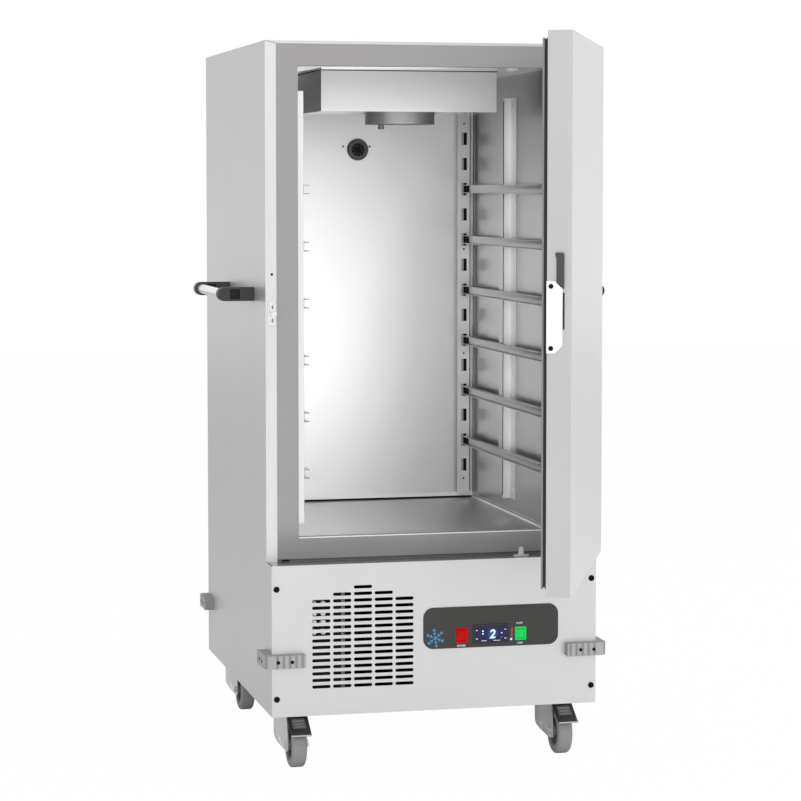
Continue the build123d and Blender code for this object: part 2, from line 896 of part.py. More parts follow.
# Evaporator cover hung from the ceiling, open above, with its fan below
cover_low_z = opening_high_z - cover_height
cover_front_y = front_y + cover_front
cover_rear_y = front_y + cover_rear
evaporator_fan_y = front_y + fan_y
fan_bore = fan_ring_diameter / 2 - fan_ring_wall
with BuildPart() as evaporator_cover:
    with BuildSketch(Plane.XY.offset(cover_low_z)):
        patch(-cover_width / 2, cover_width / 2, cover_front_y, cover_rear_y)
    extrude(amount=cover_height)
    with BuildSketch(Plane.XY.offset(cover_low_z + sheet)):
        patch(
            sheet - cover_width / 2,
            cover_width / 2 - sheet,
            cover_front_y + sheet,
            cover_rear_y - sheet,
        )
    extrude(amount=cover_height, mode=Mode.SUBTRACT)
    with BuildSketch(Plane.XY.offset(cover_low_z)):
        with Locations((0, evaporator_fan_y)):
            Circle(fan_bore)
    extrude(amount=sheet, mode=Mode.SUBTRACT)
    side_slot_z = (cover_low_z + opening_high_z) / 2
    with BuildSketch(facing_front(cover_rear_y)):
        with Locations((0, side_slot_z)):
            with GridLocations(2 * louvre_pitch_x, 2 * louvre_pitch_z, vent_columns, 3):
                SlotOverall(2 * louvre_width, louvre_height)
    extrude(amount=sheet, mode=Mode.SUBTRACT)
save(evaporator_cover, "evaporator_cover")

# Evaporator coil: finned block between two end sheets
coil_y = front_y + coil_front
with BuildPart() as evaporator_coil:
    with BuildSketch(Plane.XY.offset(opening_high_z - coil_height)):
        patch(-coil_width / 2, coil_width / 2, coil_y, coil_y + coil_depth)
    extrude(amount=coil_height)
    fin_pitch = coil_width / fin_count
    with BuildSketch(facing_front(coil_y + fin_pitch)):
        with Locations((0, opening_high_z - coil_height / 2)):
            with GridLocations(fin_pitch, coil_height, fin_count - 1, 1):
                Rectangle(fin_pitch / 2, coil_height - fin_pitch)
    extrude(amount=fin_pitch, mode=Mode.SUBTRACT)
save(evaporator_coil, "evaporator_coil")


# Axial fans: a motor in the middle, spokes to the ring, and a rotor with twisted blades
def fan_blades(radius, hub_radius, chord, height):
    """Rotor in its own frame, spinning about Z, its lower face at zero."""
    with BuildPart() as blade:
        with BuildSketch(Plane.YZ.offset(hub_radius - blade_thickness)):
            with Locations(Location((0, height / 2), blade_root_twist)):
                SlotOverall(min(chord, height), blade_thickness)
        with BuildSketch(Plane.YZ.offset(radius)):
            with Locations(Location((0, height / 2), blade_tip_twist)):
                SlotOverall(chord, blade_thickness)
        loft()
    with BuildPart() as rotor:
        Cylinder(hub_radius, height, align=(Align.CENTER, Align.CENTER, Align.MIN))
        with PolarLocations(0, fan_blade_count):
            add(blade.part)
    return rotor


fan_motor_radius = fan_motor_diameter / 2
ring_low_z = cover_low_z - fan_ring_height
rotor_height = fan_ring_height / 2
shaft_radius = fan_shaft_diameter / 2
with BuildPart() as fan_ring:
    with BuildSketch(Plane.XY.offset(ring_low_z)):
        with Locations((0, evaporator_fan_y)):
            Circle(fan_ring_diameter / 2)
            Circle(fan_bore, mode=Mode.SUBTRACT)
    extrude(amount=fan_ring_height)
    with BuildSketch(Plane.XY.offset(ring_low_z)):
        with Locations((0, evaporator_fan_y)):
            Circle(fan_motor_radius)
            with PolarLocations(0, 4):
                with Locations((fan_bore / 2, 0)):
                    Rectangle(fan_bore + fan_ring_wall / 2, fan_spoke_width)
    extrude(amount=fan_spoke_width / 2)
    with BuildSketch(Plane.XY.offset(ring_low_z)):
        with Locations((0, evaporator_fan_y)):
            Circle(shaft_radius)
    extrude(amount=fan_ring_height)
save(fan_ring, "fan_ring")

rotor_low_z = ring_low_z + fan_spoke_width / 2 + fan_blade_gap / 2
evaporator_rotor = fan_blades(
    fan_bore - fan_blade_gap, fan_motor_radius, fan_blade_chord, rotor_height
)
with BuildPart() as evaporator_fan:
    with Locations((0, evaporator_fan_y, rotor_low_z)):
        add(evaporator_rotor.part)
    with BuildSketch(Plane.XY.offset(rotor_low_z)):
        with Locations((0, evaporator_fan_y)):
            Circle(shaft_radius + running_gap)
    extrude(amount=rotor_height, mode=Mode.SUBTRACT)
save(evaporator_fan, "evaporator_fan")

# Gland of the air sensor under the rim of the fan ring
sensor_y = evaporator_fan_y - sqrt((fan_ring_diameter / 2 - sensor_diameter / 2) ** 2 - sensor_x**2)
with BuildPart() as sensor_gland:
    with BuildSketch(Plane.XY.offset(ring_low_z - sensor_height)):
        with Locations((sensor_x, sensor_y)):
            RegularPolygon(sensor_diameter / 2, 6)
    extrude(amount=sensor_height / 2)
    with BuildSketch(Plane.XY.offset(ring_low_z - sensor_height / 2)):
        with Locations((sensor_x, sensor_y)):
            Circle(sensor_diameter / 2 - 1)
    extrude(amount=sensor_height / 2)
save(sensor_gland, "sensor_gland")

# Pressure-equalising valve on the back wall: a round flange with a dark recess
valve_z = opening_high_z - valve_drop
with BuildPart() as vent_valve:
    with BuildSketch(facing_front(cabin_back_y)):
        with Locations((0, valve_z)):
            Circle(valve_diameter / 2)
    extrude(amount=valve_thickness)
    flange_rim = vent_valve.faces().sort_by(Axis.Y)[0].edges()
    chamfer(flange_rim, valve_thickness / 3)
    with BuildSketch(facing_front(cabin_back_y - valve_thickness / 3)):
        with Locations((0, valve_z)):
            Circle(valve_recess / 2)
            Circle(valve_recess / 4, mode=Mode.SUBTRACT)
    extrude(amount=valve_thickness, mode=Mode.SUBTRACT)
save(vent_valve, "vent_valve")

# Centring cone on the ledge, which guides the closing door
cone_x = half_width - cone_inset
cone_y = front_y - cone_forward
with BuildPart() as guide_cone:
    with BuildSketch(Plane.XY.offset(ledge_z)):
        with Locations((cone_x, cone_y)):
            SlotOverall(cone_flange_length, cone_base_diameter)
    extrude(amount=cone_flange_thickness)
    with Locations((cone_x, cone_y, ledge_z + cone_flange_thickness)):
        Cone(
            cone_base_diameter / 2,
            cone_top_diameter / 2,
            cone_height - cone_flange_thickness,
            align=(Align.CENTER, Align.CENTER, Align.MIN),
        )
    cone_tip = guide_cone.edges().filter_by(GeomType.CIRCLE).sort_by(Axis.Z)[-1]
    fillet(cone_tip, cone_top_diameter / 4)
save(guide_cone, "guide_cone")

# Door, drawn closed about the hinge pin; its plane turns it to the open angle.
# The notch in its underside clears the centring cone.
notch_x = cone_x - hinge_x
notch_half = cone_flange_length / 2 + cone_notch_gap
notch_front = hinge_forward - cone_forward - cone_base_diameter / 2 - cone_notch_gap
notch_top = ledge_z + cone_height + cone_notch_gap


def cone_notch():
    """Cut the way of the centring cone out of the door's underside."""
    with BuildSketch(door_frame.offset(door_low_z)) as notch:
        patch(notch_x - notch_half, notch_x + notch_half, notch_front, door_inner_face + sheet)
    extrude(notch.sketch, amount=notch_top - door_low_z, mode=Mode.SUBTRACT)


with BuildPart() as door_outer_skin:
    with BuildSketch(door_frame.offset(door_low_z)):
        patch(door_free_edge, door_edge, door_face, door_inner_face)
    extrude(amount=door_height)
    with BuildSketch(door_frame.offset(door_low_z + sheet)):
        patch(
            door_free_edge + sheet,
            door_edge - sheet,
            door_face + sheet,
            door_inner_face + sheet,
        )
    extrude(amount=door_height - 2 * sheet, mode=Mode.SUBTRACT)
    cone_notch()
save(door_outer_skin, "door_outer_skin")

with BuildPart() as door_inner_liner:
    with BuildSketch(door_frame.offset(door_low_z + sheet)):
        patch(
            door_free_edge + sheet,
            door_edge - sheet,
            door_inner_face - sheet,
            door_inner_face,
        )
    extrude(amount=door_height - 2 * sheet)
    with BuildSketch(door_frame.offset(door_low_z + dish_margin)):
        patch(
            door_free_edge + dish_margin,
            door_edge - dish_margin,
            door_inner_face,
            door_inner_face + dish_rise,
        )
    extrude(amount=door_height - 2 * dish_margin)
    cone_notch()
save(door_inner_liner, "door_inner_liner")

with BuildPart() as door_foam:
    with BuildSketch(door_frame.offset(door_low_z + sheet)):
        patch(
            door_free_edge + sheet,
            door_edge - sheet,
            door_face + sheet,
            door_inner_face - sheet,
        )
    extrude(amount=door_height - 2 * sheet)
    cone_notch()
save(door_foam, "door_foam")

# Magnetic gasket: a bellows ring on the door's inner face
gasket_face = Plane(
    origin=door_frame.from_local_coords(Vector(0, door_inner_face, 0)),
    x_dir=door_frame.x_dir,
    z_dir=-door_frame.y_dir,
)


def gasket_ring(inset, thickness, start, mode=Mode.ADD):
    """Part of the gasket's ring, set in from its edges, from a height above the door."""
    outer = gasket_inset + inset
    inner = gasket_inset + gasket_width - inset
    with BuildSketch(gasket_face.offset(-start)) as ring:
        patch(door_free_edge + outer, door_edge - outer, door_low_z + outer, door_high_z - outer)
        patch(
            door_free_edge + inner,
            door_edge - inner,
            door_low_z + inner,
            door_high_z - inner,
            mode=Mode.SUBTRACT,
        )
    extrude(ring.sketch, amount=-thickness, mode=mode)


gasket_layer = gasket_thickness / 3
with BuildPart() as door_gasket:
    gasket_ring(0, gasket_layer, 0)
    gasket_ring(gasket_groove, gasket_layer, gasket_layer)
    gasket_ring(0, gasket_layer, 2 * gasket_layer)
save(door_gasket, "door_gasket")

# Hinges: the frame leaf carries the pin and the lower knuckle, the door leaf the upper one
hinge_zs = [door_low_z + hinge_foot_gap, door_high_z - hinge_head_gap]
closed_pin = Plane(origin=(hinge_x, hinge_y, 0), x_dir=(1, 0, 0), z_dir=(0, 0, 1))
with BuildPart() as hinge_frame_leaves:
    for hinge_z in hinge_zs:
        with BuildSketch(closed_pin.offset(hinge_z - hinge_length / 2)):
            patch(
                -hinge_leaf_width / 2,
                half_width - hinge_x - sheet,
                hinge_forward - hinge_leaf,
                hinge_forward,
            )
        extrude(amount=hinge_length)
        with BuildSketch(closed_pin.offset(hinge_z - hinge_length / 2)):
            patch(-hinge_arm / 2, hinge_arm / 2, 0, hinge_forward - hinge_leaf)
            Circle(hinge_barrel_diameter / 2)
        extrude(amount=hinge_length / 2)
        with BuildSketch(closed_pin.offset(hinge_z)):
            Circle(hinge_pin_diameter / 2)
        extrude(amount=hinge_length / 2)
save(hinge_frame_leaves, "hinge_frame_leaves")

with BuildPart() as hinge_door_leaves:
    for hinge_z in hinge_zs:
        with BuildSketch(door_frame.offset(hinge_z - hinge_length / 2)):
            patch(
                door_edge,
                door_edge + hinge_leaf,
                -hinge_leaf_width / 2 - hinge_leaf,
                hinge_leaf_width / 2,
            )
        extrude(amount=hinge_length)
        with BuildSketch(door_frame.offset(hinge_z)):
            patch(door_edge + hinge_leaf, 0, -hinge_arm / 2, hinge_arm / 2)
            Circle(hinge_barrel_diameter / 2)
            Circle(hinge_pin_diameter / 2 + running_gap, mode=Mode.SUBTRACT)
        extrude(amount=hinge_length / 2)
save(hinge_door_leaves, "hinge_door_leaves")

# Latch case on the free edge, with a bent lip and a slot for the root of the lever.
# Sketches on this plane have the door's thickness to the right and Z up.
latch_plane = Plane(
    origin=door_frame.from_local_coords(Vector(door_free_edge, 0, 0)),
    x_dir=door_frame.y_dir,
    z_dir=door_frame.x_dir,
)
latch_outer = door_face + latch_setback
latch_inner = latch_outer + latch_width
latch_low_z = ledge_z + latch_rise
latch_high_z = latch_low_z + latch_height
lip_low_z = latch_low_z + lip_rise
pivot_x = latch_outer + lever_pivot_in
pivot_z = latch_high_z - lever_pivot_down
root_start = (latch_proud - lever_root) / 2
with BuildPart() as latch_case:
    with BuildSketch(latch_plane.offset(-latch_proud)):
        outline(
            (latch_outer + latch_chamfer, latch_low_z),
            (latch_inner, latch_low_z),
            (latch_inner, latch_high_z),
            (latch_outer + latch_chamfer, latch_high_z),
            (latch_outer, latch_high_z - latch_chamfer),
            (latch_outer, latch_low_z + latch_chamfer),
        )
    extrude(amount=latch_proud)
    with BuildSketch(latch_plane.offset(-lip_reach)):
        patch(latch_outer, latch_outer + lip_thickness, lip_low_z, lip_low_z + lip_height)
    extrude(amount=lip_reach)
    with BuildSketch(latch_plane.offset(-root_start - lever_root - lever_root_gap)):
        outline(
            (latch_outer - lever_gap, latch_high_z - latch_chamfer),
            (latch_outer + latch_chamfer, latch_high_z + lever_gap),
            (pivot_x + lever_pocket, pivot_z + lever_pocket),
            (pivot_x + lever_pocket, pivot_z - lever_pocket),
            (pivot_x - lever_pocket, pivot_z - lever_pocket),
            (latch_outer - lever_gap, latch_high_z - latch_chamfer - lever_neck),
        )
    extrude(amount=lever_root + 2 * lever_root_gap, mode=Mode.SUBTRACT)
    with BuildSketch(latch_plane.offset(-latch_proud)):
        with Locations((pivot_x, pivot_z)):
            Circle(lever_pin_diameter / 2)
    extrude(amount=latch_proud)
save(latch_case, "latch_case")

# Latch lever: grip above the chamfer of the case, root inside it on the pin
lever_outer = door_face + lever_setback
lever_inner = lever_outer + lever_width
lever_top_z = latch_low_z + lever_rise
chamfer_offset = lever_gap * sqrt(2)
lever_foot_z = latch_high_z - latch_chamfer - latch_setback + lever_setback + chamfer_offset
with BuildPart() as latch_lever:
    with BuildSketch(latch_plane.offset(-lever_thickness)):
        outline(
            (lever_outer, lever_foot_z),
            (latch_outer + latch_chamfer - chamfer_offset, latch_high_z),
            (lever_inner - lever_gap, latch_high_z + lever_gap),
            (lever_inner - lever_gap, lever_top_z - lever_head),
            (lever_inner, lever_top_z - lever_head / 2),
            (lever_inner, lever_top_z),
            (lever_outer + lever_gap, lever_top_z),
            (lever_outer, lever_top_z - lever_neck),
        )
    extrude(amount=lever_thickness - lever_root_gap)
    with BuildSketch(latch_plane.offset(-root_start - lever_root)):
        outline(
            (latch_outer + lever_root_gap, latch_high_z - latch_chamfer + lever_neck),
            (latch_outer + lever_pocket, latch_high_z - lever_root_gap),
            (pivot_x + lever_neck, pivot_z + lever_neck),
            (pivot_x - lever_neck, pivot_z - lever_neck),
        )
        with Locations((pivot_x, pivot_z)):
            Circle(lever_hub_diameter / 2)
    extrude(amount=lever_root)
    with BuildSketch(latch_plane.offset(-latch_proud)):
        with Locations((pivot_x, pivot_z)):
            Circle(lever_pin_diameter / 2 + running_gap)
    extrude(amount=latch_proud, mode=Mode.SUBTRACT)
save(latch_lever, "latch_lever")

# Strike on the left strip: two slotted bosses and a nose between them
strike_x = strike_inset - half_width
strike_low_z = latch_low_z + strike_rise
boss_height = strike_height * strike_boss_share
with BuildPart() as latch_strike:
    with BuildSketch(facing_front(front_y)):
        with Locations((strike_x, strike_low_z + strike_height / 2)):
            RectangleRounded(strike_width, strike_height, strike_width / 6)
    extrude(amount=strike_thickness / 4)
    with BuildSketch(facing_front(front_y)):
        with Locations((strike_x, strike_low_z + strike_height - boss_height / 2)):
            RectangleRounded(strike_width * 5 / 6, boss_height, strike_width / 5)
        with Locations((strike_x, strike_low_z + boss_height / 2)):
            Trapezoid(strike_width, boss_height, 75)
    extrude(amount=strike_thickness)
    with BuildSketch(facing_front(front_y)):
        with Locations((strike_x + strike_width / 4, strike_low_z + strike_height / 2)):
            Rectangle(strike_nose, strike_width / 2)
    extrude(amount=strike_thickness)
    with BuildSketch(facing_front(front_y)):
        with Locations(
            (strike_x, strike_low_z + strike_height - boss_height / 2),
            (strike_x, strike_low_z + boss_height / 2),
        ):
            SlotOverall(boss_height / 2, strike_slot_width, rotation=90)
    extrude(amount=strike_thickness, mode=Mode.SUBTRACT)
save(latch_strike, "latch_strike")

# Hermetic compressor on a foot plate
foot_z = pan_z + pan_sheet
compressor_x = half_width - compressor_inset
compressor_y = back_y - compressor_rear_inset
with BuildPart() as compressor:
    with BuildSketch(Plane.XY.offset(foot_z)):
        with Locations((compressor_x, compressor_y)):
            with GridLocations(compressor_diameter, compressor_diameter, 2, 2):
                Circle(compressor_foot)
    extrude(amount=compressor_foot)
    with BuildSketch(Plane.XY.offset(foot_z + compressor_foot)):
        with Locations((compressor_x, compressor_y)):
            RectangleRounded(
                compressor_diameter + 2 * compressor_foot,
                compressor_diameter + 2 * compressor_foot,
                compressor_foot,
            )
    extrude(amount=pan_sheet)
    with Locations((compressor_x, compressor_y, foot_z + compressor_foot + pan_sheet)):
        Cylinder(
            compressor_diameter / 2,
            compressor_height,
            align=(Align.CENTER, Align.CENTER, Align.MIN),
        )
    dome = compressor.edges().filter_by(GeomType.CIRCLE).sort_by(Axis.Z)[-1]
    fillet(dome, compressor_diameter / 3)
save(compressor, "compressor")

# Condenser: finned block on the pan, tube ends at its front, fan shroud on its inner side
condenser_x = condenser_inset - half_width
condenser_y = front_y + condenser_front
block_left = condenser_x - condenser_thickness / 2
block_right = condenser_x + condenser_thickness / 2
shroud_x = block_right + shroud_offset - shroud_sheet
block_high = top_tube_z + 1.5 * tube_pitch_z
fan_z = (foot_z + block_high) / 2
fan_middle_y = condenser_y + condenser_depth / 2
fan_opening = condenser_fan_diameter / 2 + fan_blade_gap
with BuildPart() as condenser:
    with BuildSketch(Plane.XY.offset(foot_z)):
        patch(block_left, block_right, condenser_y, condenser_y + condenser_depth)
    extrude(amount=block_high - foot_z)
    with BuildSketch(facing_front(condenser_y)):
        with Locations((condenser_x, top_tube_z - (tube_rows - 1) / 2 * tube_pitch_z)):
            with GridLocations(tube_pitch_x, tube_pitch_z, 2, tube_rows):
                Circle(tube_end_diameter / 2)
    extrude(amount=tube_reach)
    tube_rims = condenser.edges().filter_by(GeomType.CIRCLE).group_by(Axis.Y)[0]
    fillet(tube_rims, tube_end_diameter / 3)
    with BuildSketch(facing_right(block_right)):
        patch(condenser_y, condenser_y + condenser_depth, foot_z, block_high)
    extrude(amount=shroud_offset)
    with BuildSketch(facing_right(block_right)):
        patch(
            condenser_y + shroud_sheet,
            condenser_y + condenser_depth - shroud_sheet,
            foot_z + shroud_sheet,
            block_high - shroud_sheet,
        )
    extrude(amount=shroud_offset - shroud_sheet, mode=Mode.SUBTRACT)
    with BuildSketch(facing_right(block_right)):
        with Locations((fan_middle_y, fan_z)):
            Circle(fan_opening)
    extrude(amount=shroud_offset, mode=Mode.SUBTRACT)
    motor_x = shroud_x + 3 * fan_motor_radius
    with BuildSketch(facing_right(motor_x - shroud_sheet)):
        with Locations((fan_middle_y, fan_z)):
            Rectangle(2 * fan_opening + 2 * fan_spoke_width, 2 * fan_spoke_width)
            Circle(fan_motor_radius)
    extrude(amount=shroud_sheet)
    strap_y = fan_opening + fan_spoke_width - motor_strap / 2
    with BuildSketch(facing_right(shroud_x + shroud_sheet)):
        with Locations((fan_middle_y - strap_y, fan_z), (fan_middle_y + strap_y, fan_z)):
            Rectangle(motor_strap, 2 * fan_spoke_width)
    extrude(amount=motor_x - shroud_x - shroud_sheet)
    with BuildSketch(facing_right(motor_x)):
        with Locations((fan_middle_y, fan_z)):
            Circle(fan_motor_radius)
    extrude(amount=fan_motor_diameter)
    with BuildSketch(facing_right(shroud_x)):
        with Locations((fan_middle_y, fan_z)):
            Circle(shaft_radius)
    extrude(amount=motor_x - shroud_x)
save(condenser, "condenser")

condenser_rotor = fan_blades(
    condenser_fan_diameter / 2, fan_motor_radius, condenser_blade_chord, condenser_fan_depth
)
rotor_place = Plane(
    origin=(shroud_x - shroud_sheet, fan_middle_y, fan_z), x_dir=(0, 1, 0), z_dir=(1, 0, 0)
)
with BuildPart(rotor_place) as condenser_fan:
    with Locations((0, 0, 0)):
        add(condenser_rotor.part)
    with BuildSketch(rotor_place):
        Circle(shaft_radius + running_gap)
    extrude(amount=condenser_fan_depth, mode=Mode.SUBTRACT)
save(condenser_fan, "condenser_fan")

# Gland where the power lead enters at the back
gland_place = (-half_width / 2, gland_z)
with BuildPart() as cable_gland:
    with BuildSketch(facing_front(back_y)):
        with Locations(gland_place):
            RegularPolygon(gland_diameter / 2, 6)
    extrude(amount=-gland_diameter / 4)
    with BuildSketch(facing_front(back_y + gland_diameter / 4)):
        with Locations(gland_place):
            Circle(gland_diameter / 3)
            Circle(gland_diameter / 5, mode=Mode.SUBTRACT)
    extrude(amount=-gland_diameter / 3)
save(cable_gland, "cable_gland")

# Casters: top plates with the swivel races and kingpins stay on the cart
caster_x = half_width - caster_inset
caster_ys = {"front": front_y + caster_front_y, "rear": back_y - caster_rear_inset}
caster_xs = {"left": -caster_x, "right": caster_x}
caster_places = {
    f"{end}_{side}": (x, y) for end, y in caster_ys.items() for side, x in caster_xs.items()
}
plate_low_z = pan_z - caster_plate
race_low_z = plate_low_z - race_height
crown_low_z = wheel_diameter + crown_clearance
wheel_radius = wheel_diameter / 2
with BuildPart() as caster_plates:
    with BuildSketch(Plane.XY.offset(plate_low_z)):
        with Locations(*caster_places.values()):
            RectangleRounded(caster_plate_width, caster_plate_length, crown_clearance)
    extrude(amount=caster_plate)
    with BuildSketch(Plane.XY.offset(race_low_z)):
        with Locations(*caster_places.values()):
            Circle(race_diameter / 2)
    extrude(amount=race_height)
    head_low_z = crown_low_z - fork_sheet
    with BuildSketch(Plane.XY.offset(head_low_z)):
        with Locations(*caster_places.values()):
            Circle(kingpin_diameter / 2)
    extrude(amount=race_low_z - head_low_z)
    with BuildSketch(Plane.XY.offset(head_low_z)):
        with Locations(*caster_places.values()):
            Circle(kingpin_head_diameter / 2)
    extrude(amount=crown_low_z - head_low_z)
save(caster_plates, "caster_plates")

# Fork: two curved cheeks under a crown, with the axle between them.
# It is drawn with the swivel axis at the origin and the wheel trailing to the front.
fork_inner = hub_length / 2 + fork_gap
fork_outer = fork_inner + fork_sheet
axle_place = (-caster_trail, wheel_radius)
crown_high_z = race_low_z
race_radius = race_diameter / 2
cheek_foot = axle_diameter * 1.5
foot_front = (-caster_trail - cheek_foot, wheel_radius)
foot_low = (-caster_trail, wheel_radius - cheek_foot)
foot_back = (-caster_trail + cheek_foot, wheel_radius)
cheek_front_y = -pedal_pivot_forward - pedal_barrel_diameter


def caster_fork(braked):
    """Fork of one caster; a braked one also carries the pin of the pedal."""
    with BuildPart() as piece:
        for cheek_x in (-fork_outer, fork_inner):
            with BuildSketch(facing_right(cheek_x)):
                with BuildLine():
                    Line(foot_front, (cheek_front_y, crown_low_z))
                    Line((cheek_front_y, crown_low_z), (cheek_front_y, crown_high_z))
                    Line((cheek_front_y, crown_high_z), (race_radius, crown_high_z))
                    Line((race_radius, crown_high_z), (race_radius, crown_low_z))
                    RadiusArc((race_radius, crown_low_z), foot_back, 1.2 * wheel_diameter)
                    ThreePointArc(foot_back, foot_low, foot_front)
                make_face()
            extrude(amount=fork_sheet)
        with BuildSketch(Plane.XY.offset(crown_low_z)):
            crown_front = pedal_barrel_diameter - pedal_pivot_forward
            patch(-fork_outer, fork_outer, crown_front, race_radius)
            Circle(kingpin_diameter / 2 + running_gap, mode=Mode.SUBTRACT)
        extrude(amount=crown_high_z - crown_low_z)
        with BuildSketch(facing_right(-fork_outer - fork_sheet)):
            with Locations(axle_place):
                Circle(axle_diameter / 2)
        extrude(amount=2 * (fork_outer + fork_sheet))
        with BuildSketch(facing_right(fork_outer)):
            with Locations(axle_place):
                RegularPolygon(axle_diameter * 0.9, 6)
        extrude(amount=fork_sheet)
        with BuildSketch(facing_right(-fork_outer - fork_sheet)):
            with Locations(axle_place):
                Circle(axle_diameter * 0.8)
        extrude(amount=fork_sheet)
        if braked:
            with BuildSketch(facing_right(-fork_inner)):
                with Locations((-pedal_pivot_forward, pedal_pivot_z)):
                    Circle(pedal_pin_diameter / 2)
            extrude(amount=2 * fork_inner)
    return piece


# Wheel: soft tread on a recessed plastic hub, drawn about the X axis
with BuildPart() as tyre:
    with BuildSketch(Plane.XY) as tread:
        patch(-wheel_width / 2, wheel_width / 2, hub_diameter / 2, wheel_radius)
        fillet(tread.vertices().sort_by(Axis.Y)[-2:], tread_round)
    revolve(axis=Axis.X)

hub_boss = axle_diameter * 1.4
hub_rim = hub_diameter / 2 - 6
hub_web = wheel_width / 6
rim_half = wheel_width / 2 - 2
with BuildPart() as hub:
    with BuildSketch(Plane.XY):
        Polygon(
            (-hub_length / 2, axle_diameter / 2 + running_gap),
            (-hub_length / 2, hub_boss),
            (-hub_web, hub_boss + 2),
            (-hub_web, hub_rim),
            (-rim_half, hub_rim + 2),
            (-rim_half, hub_diameter / 2),
            (rim_half, hub_diameter / 2),
            (rim_half, hub_rim + 2),
            (hub_web, hub_rim),
            (hub_web, hub_boss + 2),
            (hub_length / 2, hub_boss),
            (hub_length / 2, axle_diameter / 2 + running_gap),
            align=None,
        )
    revolve(axis=Axis.X)

# Brake pedal of a front caster: a barrel on the pin and a bent plate sloping to the front
with BuildPart() as pedal:
    with BuildSketch(facing_right(-pedal_root_width / 2)):
        with Locations((-pedal_pivot_forward, pedal_pivot_z)):
            Circle(pedal_barrel_diameter / 2)
        Polygon(
            (-pedal_pivot_forward, pedal_pivot_z + pedal_barrel_diameter / 2),
            (-pedal_pivot_forward, pedal_pivot_z),
            (-pedal_bend_forward, pedal_bend_z - pedal_thickness),
            (-pedal_bend_forward, pedal_bend_z),
            align=None,
        )
    extrude(amount=pedal_root_width)
    with BuildSketch(facing_right(-pedal_width / 2)):
        Polygon(
            (-pedal_bend_forward, pedal_bend_z),
            (-pedal_bend_forward, pedal_bend_z - pedal_thickness),
            (-pedal_reach, pedal_tip_z - pedal_thickness),
            (-pedal_reach - pedal_lip, pedal_tip_z - pedal_thickness),
            (-pedal_reach - pedal_lip, pedal_tip_z),
            (-pedal_reach, pedal_tip_z),
            align=None,
        )
    extrude(amount=pedal_width)
    with BuildSketch(facing_right(-pedal_root_width / 2)):
        with Locations((-pedal_pivot_forward, pedal_pivot_z)):
            Circle(pedal_pin_diameter / 2 + running_gap)
    extrude(amount=pedal_root_width, mode=Mode.SUBTRACT)

for name, (x, y) in caster_places.items():
    braked = y == caster_ys["front"]
    fork = caster_fork(braked)
    with BuildPart() as placed_fork:
        with Locations((x, y, 0)):
            add(fork.part)
    save(placed_fork, f"{name}_fork")
    with BuildPart() as placed_tyre:
        with Locations((x, y - caster_trail, wheel_radius)):
            add(tyre.part)
    save(placed_tyre, f"{name}_tyre")
    with BuildPart() as placed_hub:
        with Locations((x, y - caster_trail, wheel_radius)):
            add(hub.part)
    save(placed_hub, f"{name}_hub")
    if braked:
        with BuildPart() as placed_pedal:
            with Locations((x, y, 0)):
                add(pedal.part)
        save(placed_pedal, f"{name}_pedal")
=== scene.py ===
import json
import math

import bmesh
import bpy
from mathutils import Matrix, Vector

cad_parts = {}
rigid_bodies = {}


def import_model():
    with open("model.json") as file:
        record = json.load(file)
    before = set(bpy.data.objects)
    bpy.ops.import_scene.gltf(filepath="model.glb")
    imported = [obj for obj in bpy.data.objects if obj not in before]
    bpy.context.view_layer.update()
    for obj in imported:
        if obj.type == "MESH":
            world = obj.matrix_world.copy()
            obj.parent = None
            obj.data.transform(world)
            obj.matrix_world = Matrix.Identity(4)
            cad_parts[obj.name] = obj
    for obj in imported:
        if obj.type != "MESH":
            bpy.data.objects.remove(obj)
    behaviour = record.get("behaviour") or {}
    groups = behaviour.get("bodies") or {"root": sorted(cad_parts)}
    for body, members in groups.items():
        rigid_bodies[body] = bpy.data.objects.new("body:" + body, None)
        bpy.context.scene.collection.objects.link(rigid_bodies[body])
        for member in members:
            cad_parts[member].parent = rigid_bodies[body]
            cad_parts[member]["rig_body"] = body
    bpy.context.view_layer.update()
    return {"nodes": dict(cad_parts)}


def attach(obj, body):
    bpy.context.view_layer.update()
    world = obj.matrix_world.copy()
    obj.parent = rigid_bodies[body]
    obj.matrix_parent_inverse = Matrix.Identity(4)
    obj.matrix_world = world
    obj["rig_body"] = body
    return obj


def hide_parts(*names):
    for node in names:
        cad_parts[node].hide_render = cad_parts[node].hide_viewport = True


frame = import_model()

# The view: a studio shot from the front left, a little above the handles, with a long lens.
# Soft lamps and a pale surround light the cart, which stands on a white floor.
camera_place = (-1.3513, -5.4473, 1.2508)
camera_turn = 13.45
camera_tilt = 3.89
lens_width = 36
focal_length = 115.53
lens_shift = -0.0499
floor_shade = 0.93
floor_whiteness = 0.985
floor_half = 14
surround_light = 0.62
front_lamp_power = 125
top_lamp_power = 34
right_lamp_power = 30
cabin_lamp_power = 1.7

camera_data = bpy.data.cameras.new("studio_camera")
camera_data.sensor_width = lens_width
camera_data.lens = focal_length
camera_data.shift_y = lens_shift
camera_data.clip_end = 60
camera = bpy.data.objects.new("studio_camera", camera_data)
camera.location = camera_place
camera.rotation_euler = (math.radians(90 - camera_tilt), 0, math.radians(-camera_turn))
bpy.context.scene.collection.objects.link(camera)
bpy.context.scene.camera = camera
bpy.context.scene.view_settings.view_transform = "Standard"


def soft_lamp(name, place, target, width, height, power):
    """Rectangular soft box that shines from a place towards a point."""
    data = bpy.data.lights.new(name, "AREA")
    data.shape = "RECTANGLE"
    data.size = width
    data.size_y = height
    data.energy = power
    lamp = bpy.data.objects.new(name, data)
    lamp.location = place
    lamp.rotation_euler = (Vector(target) - Vector(place)).to_track_quat("-Z", "Y").to_euler()
    bpy.context.scene.collection.objects.link(lamp)
    return lamp


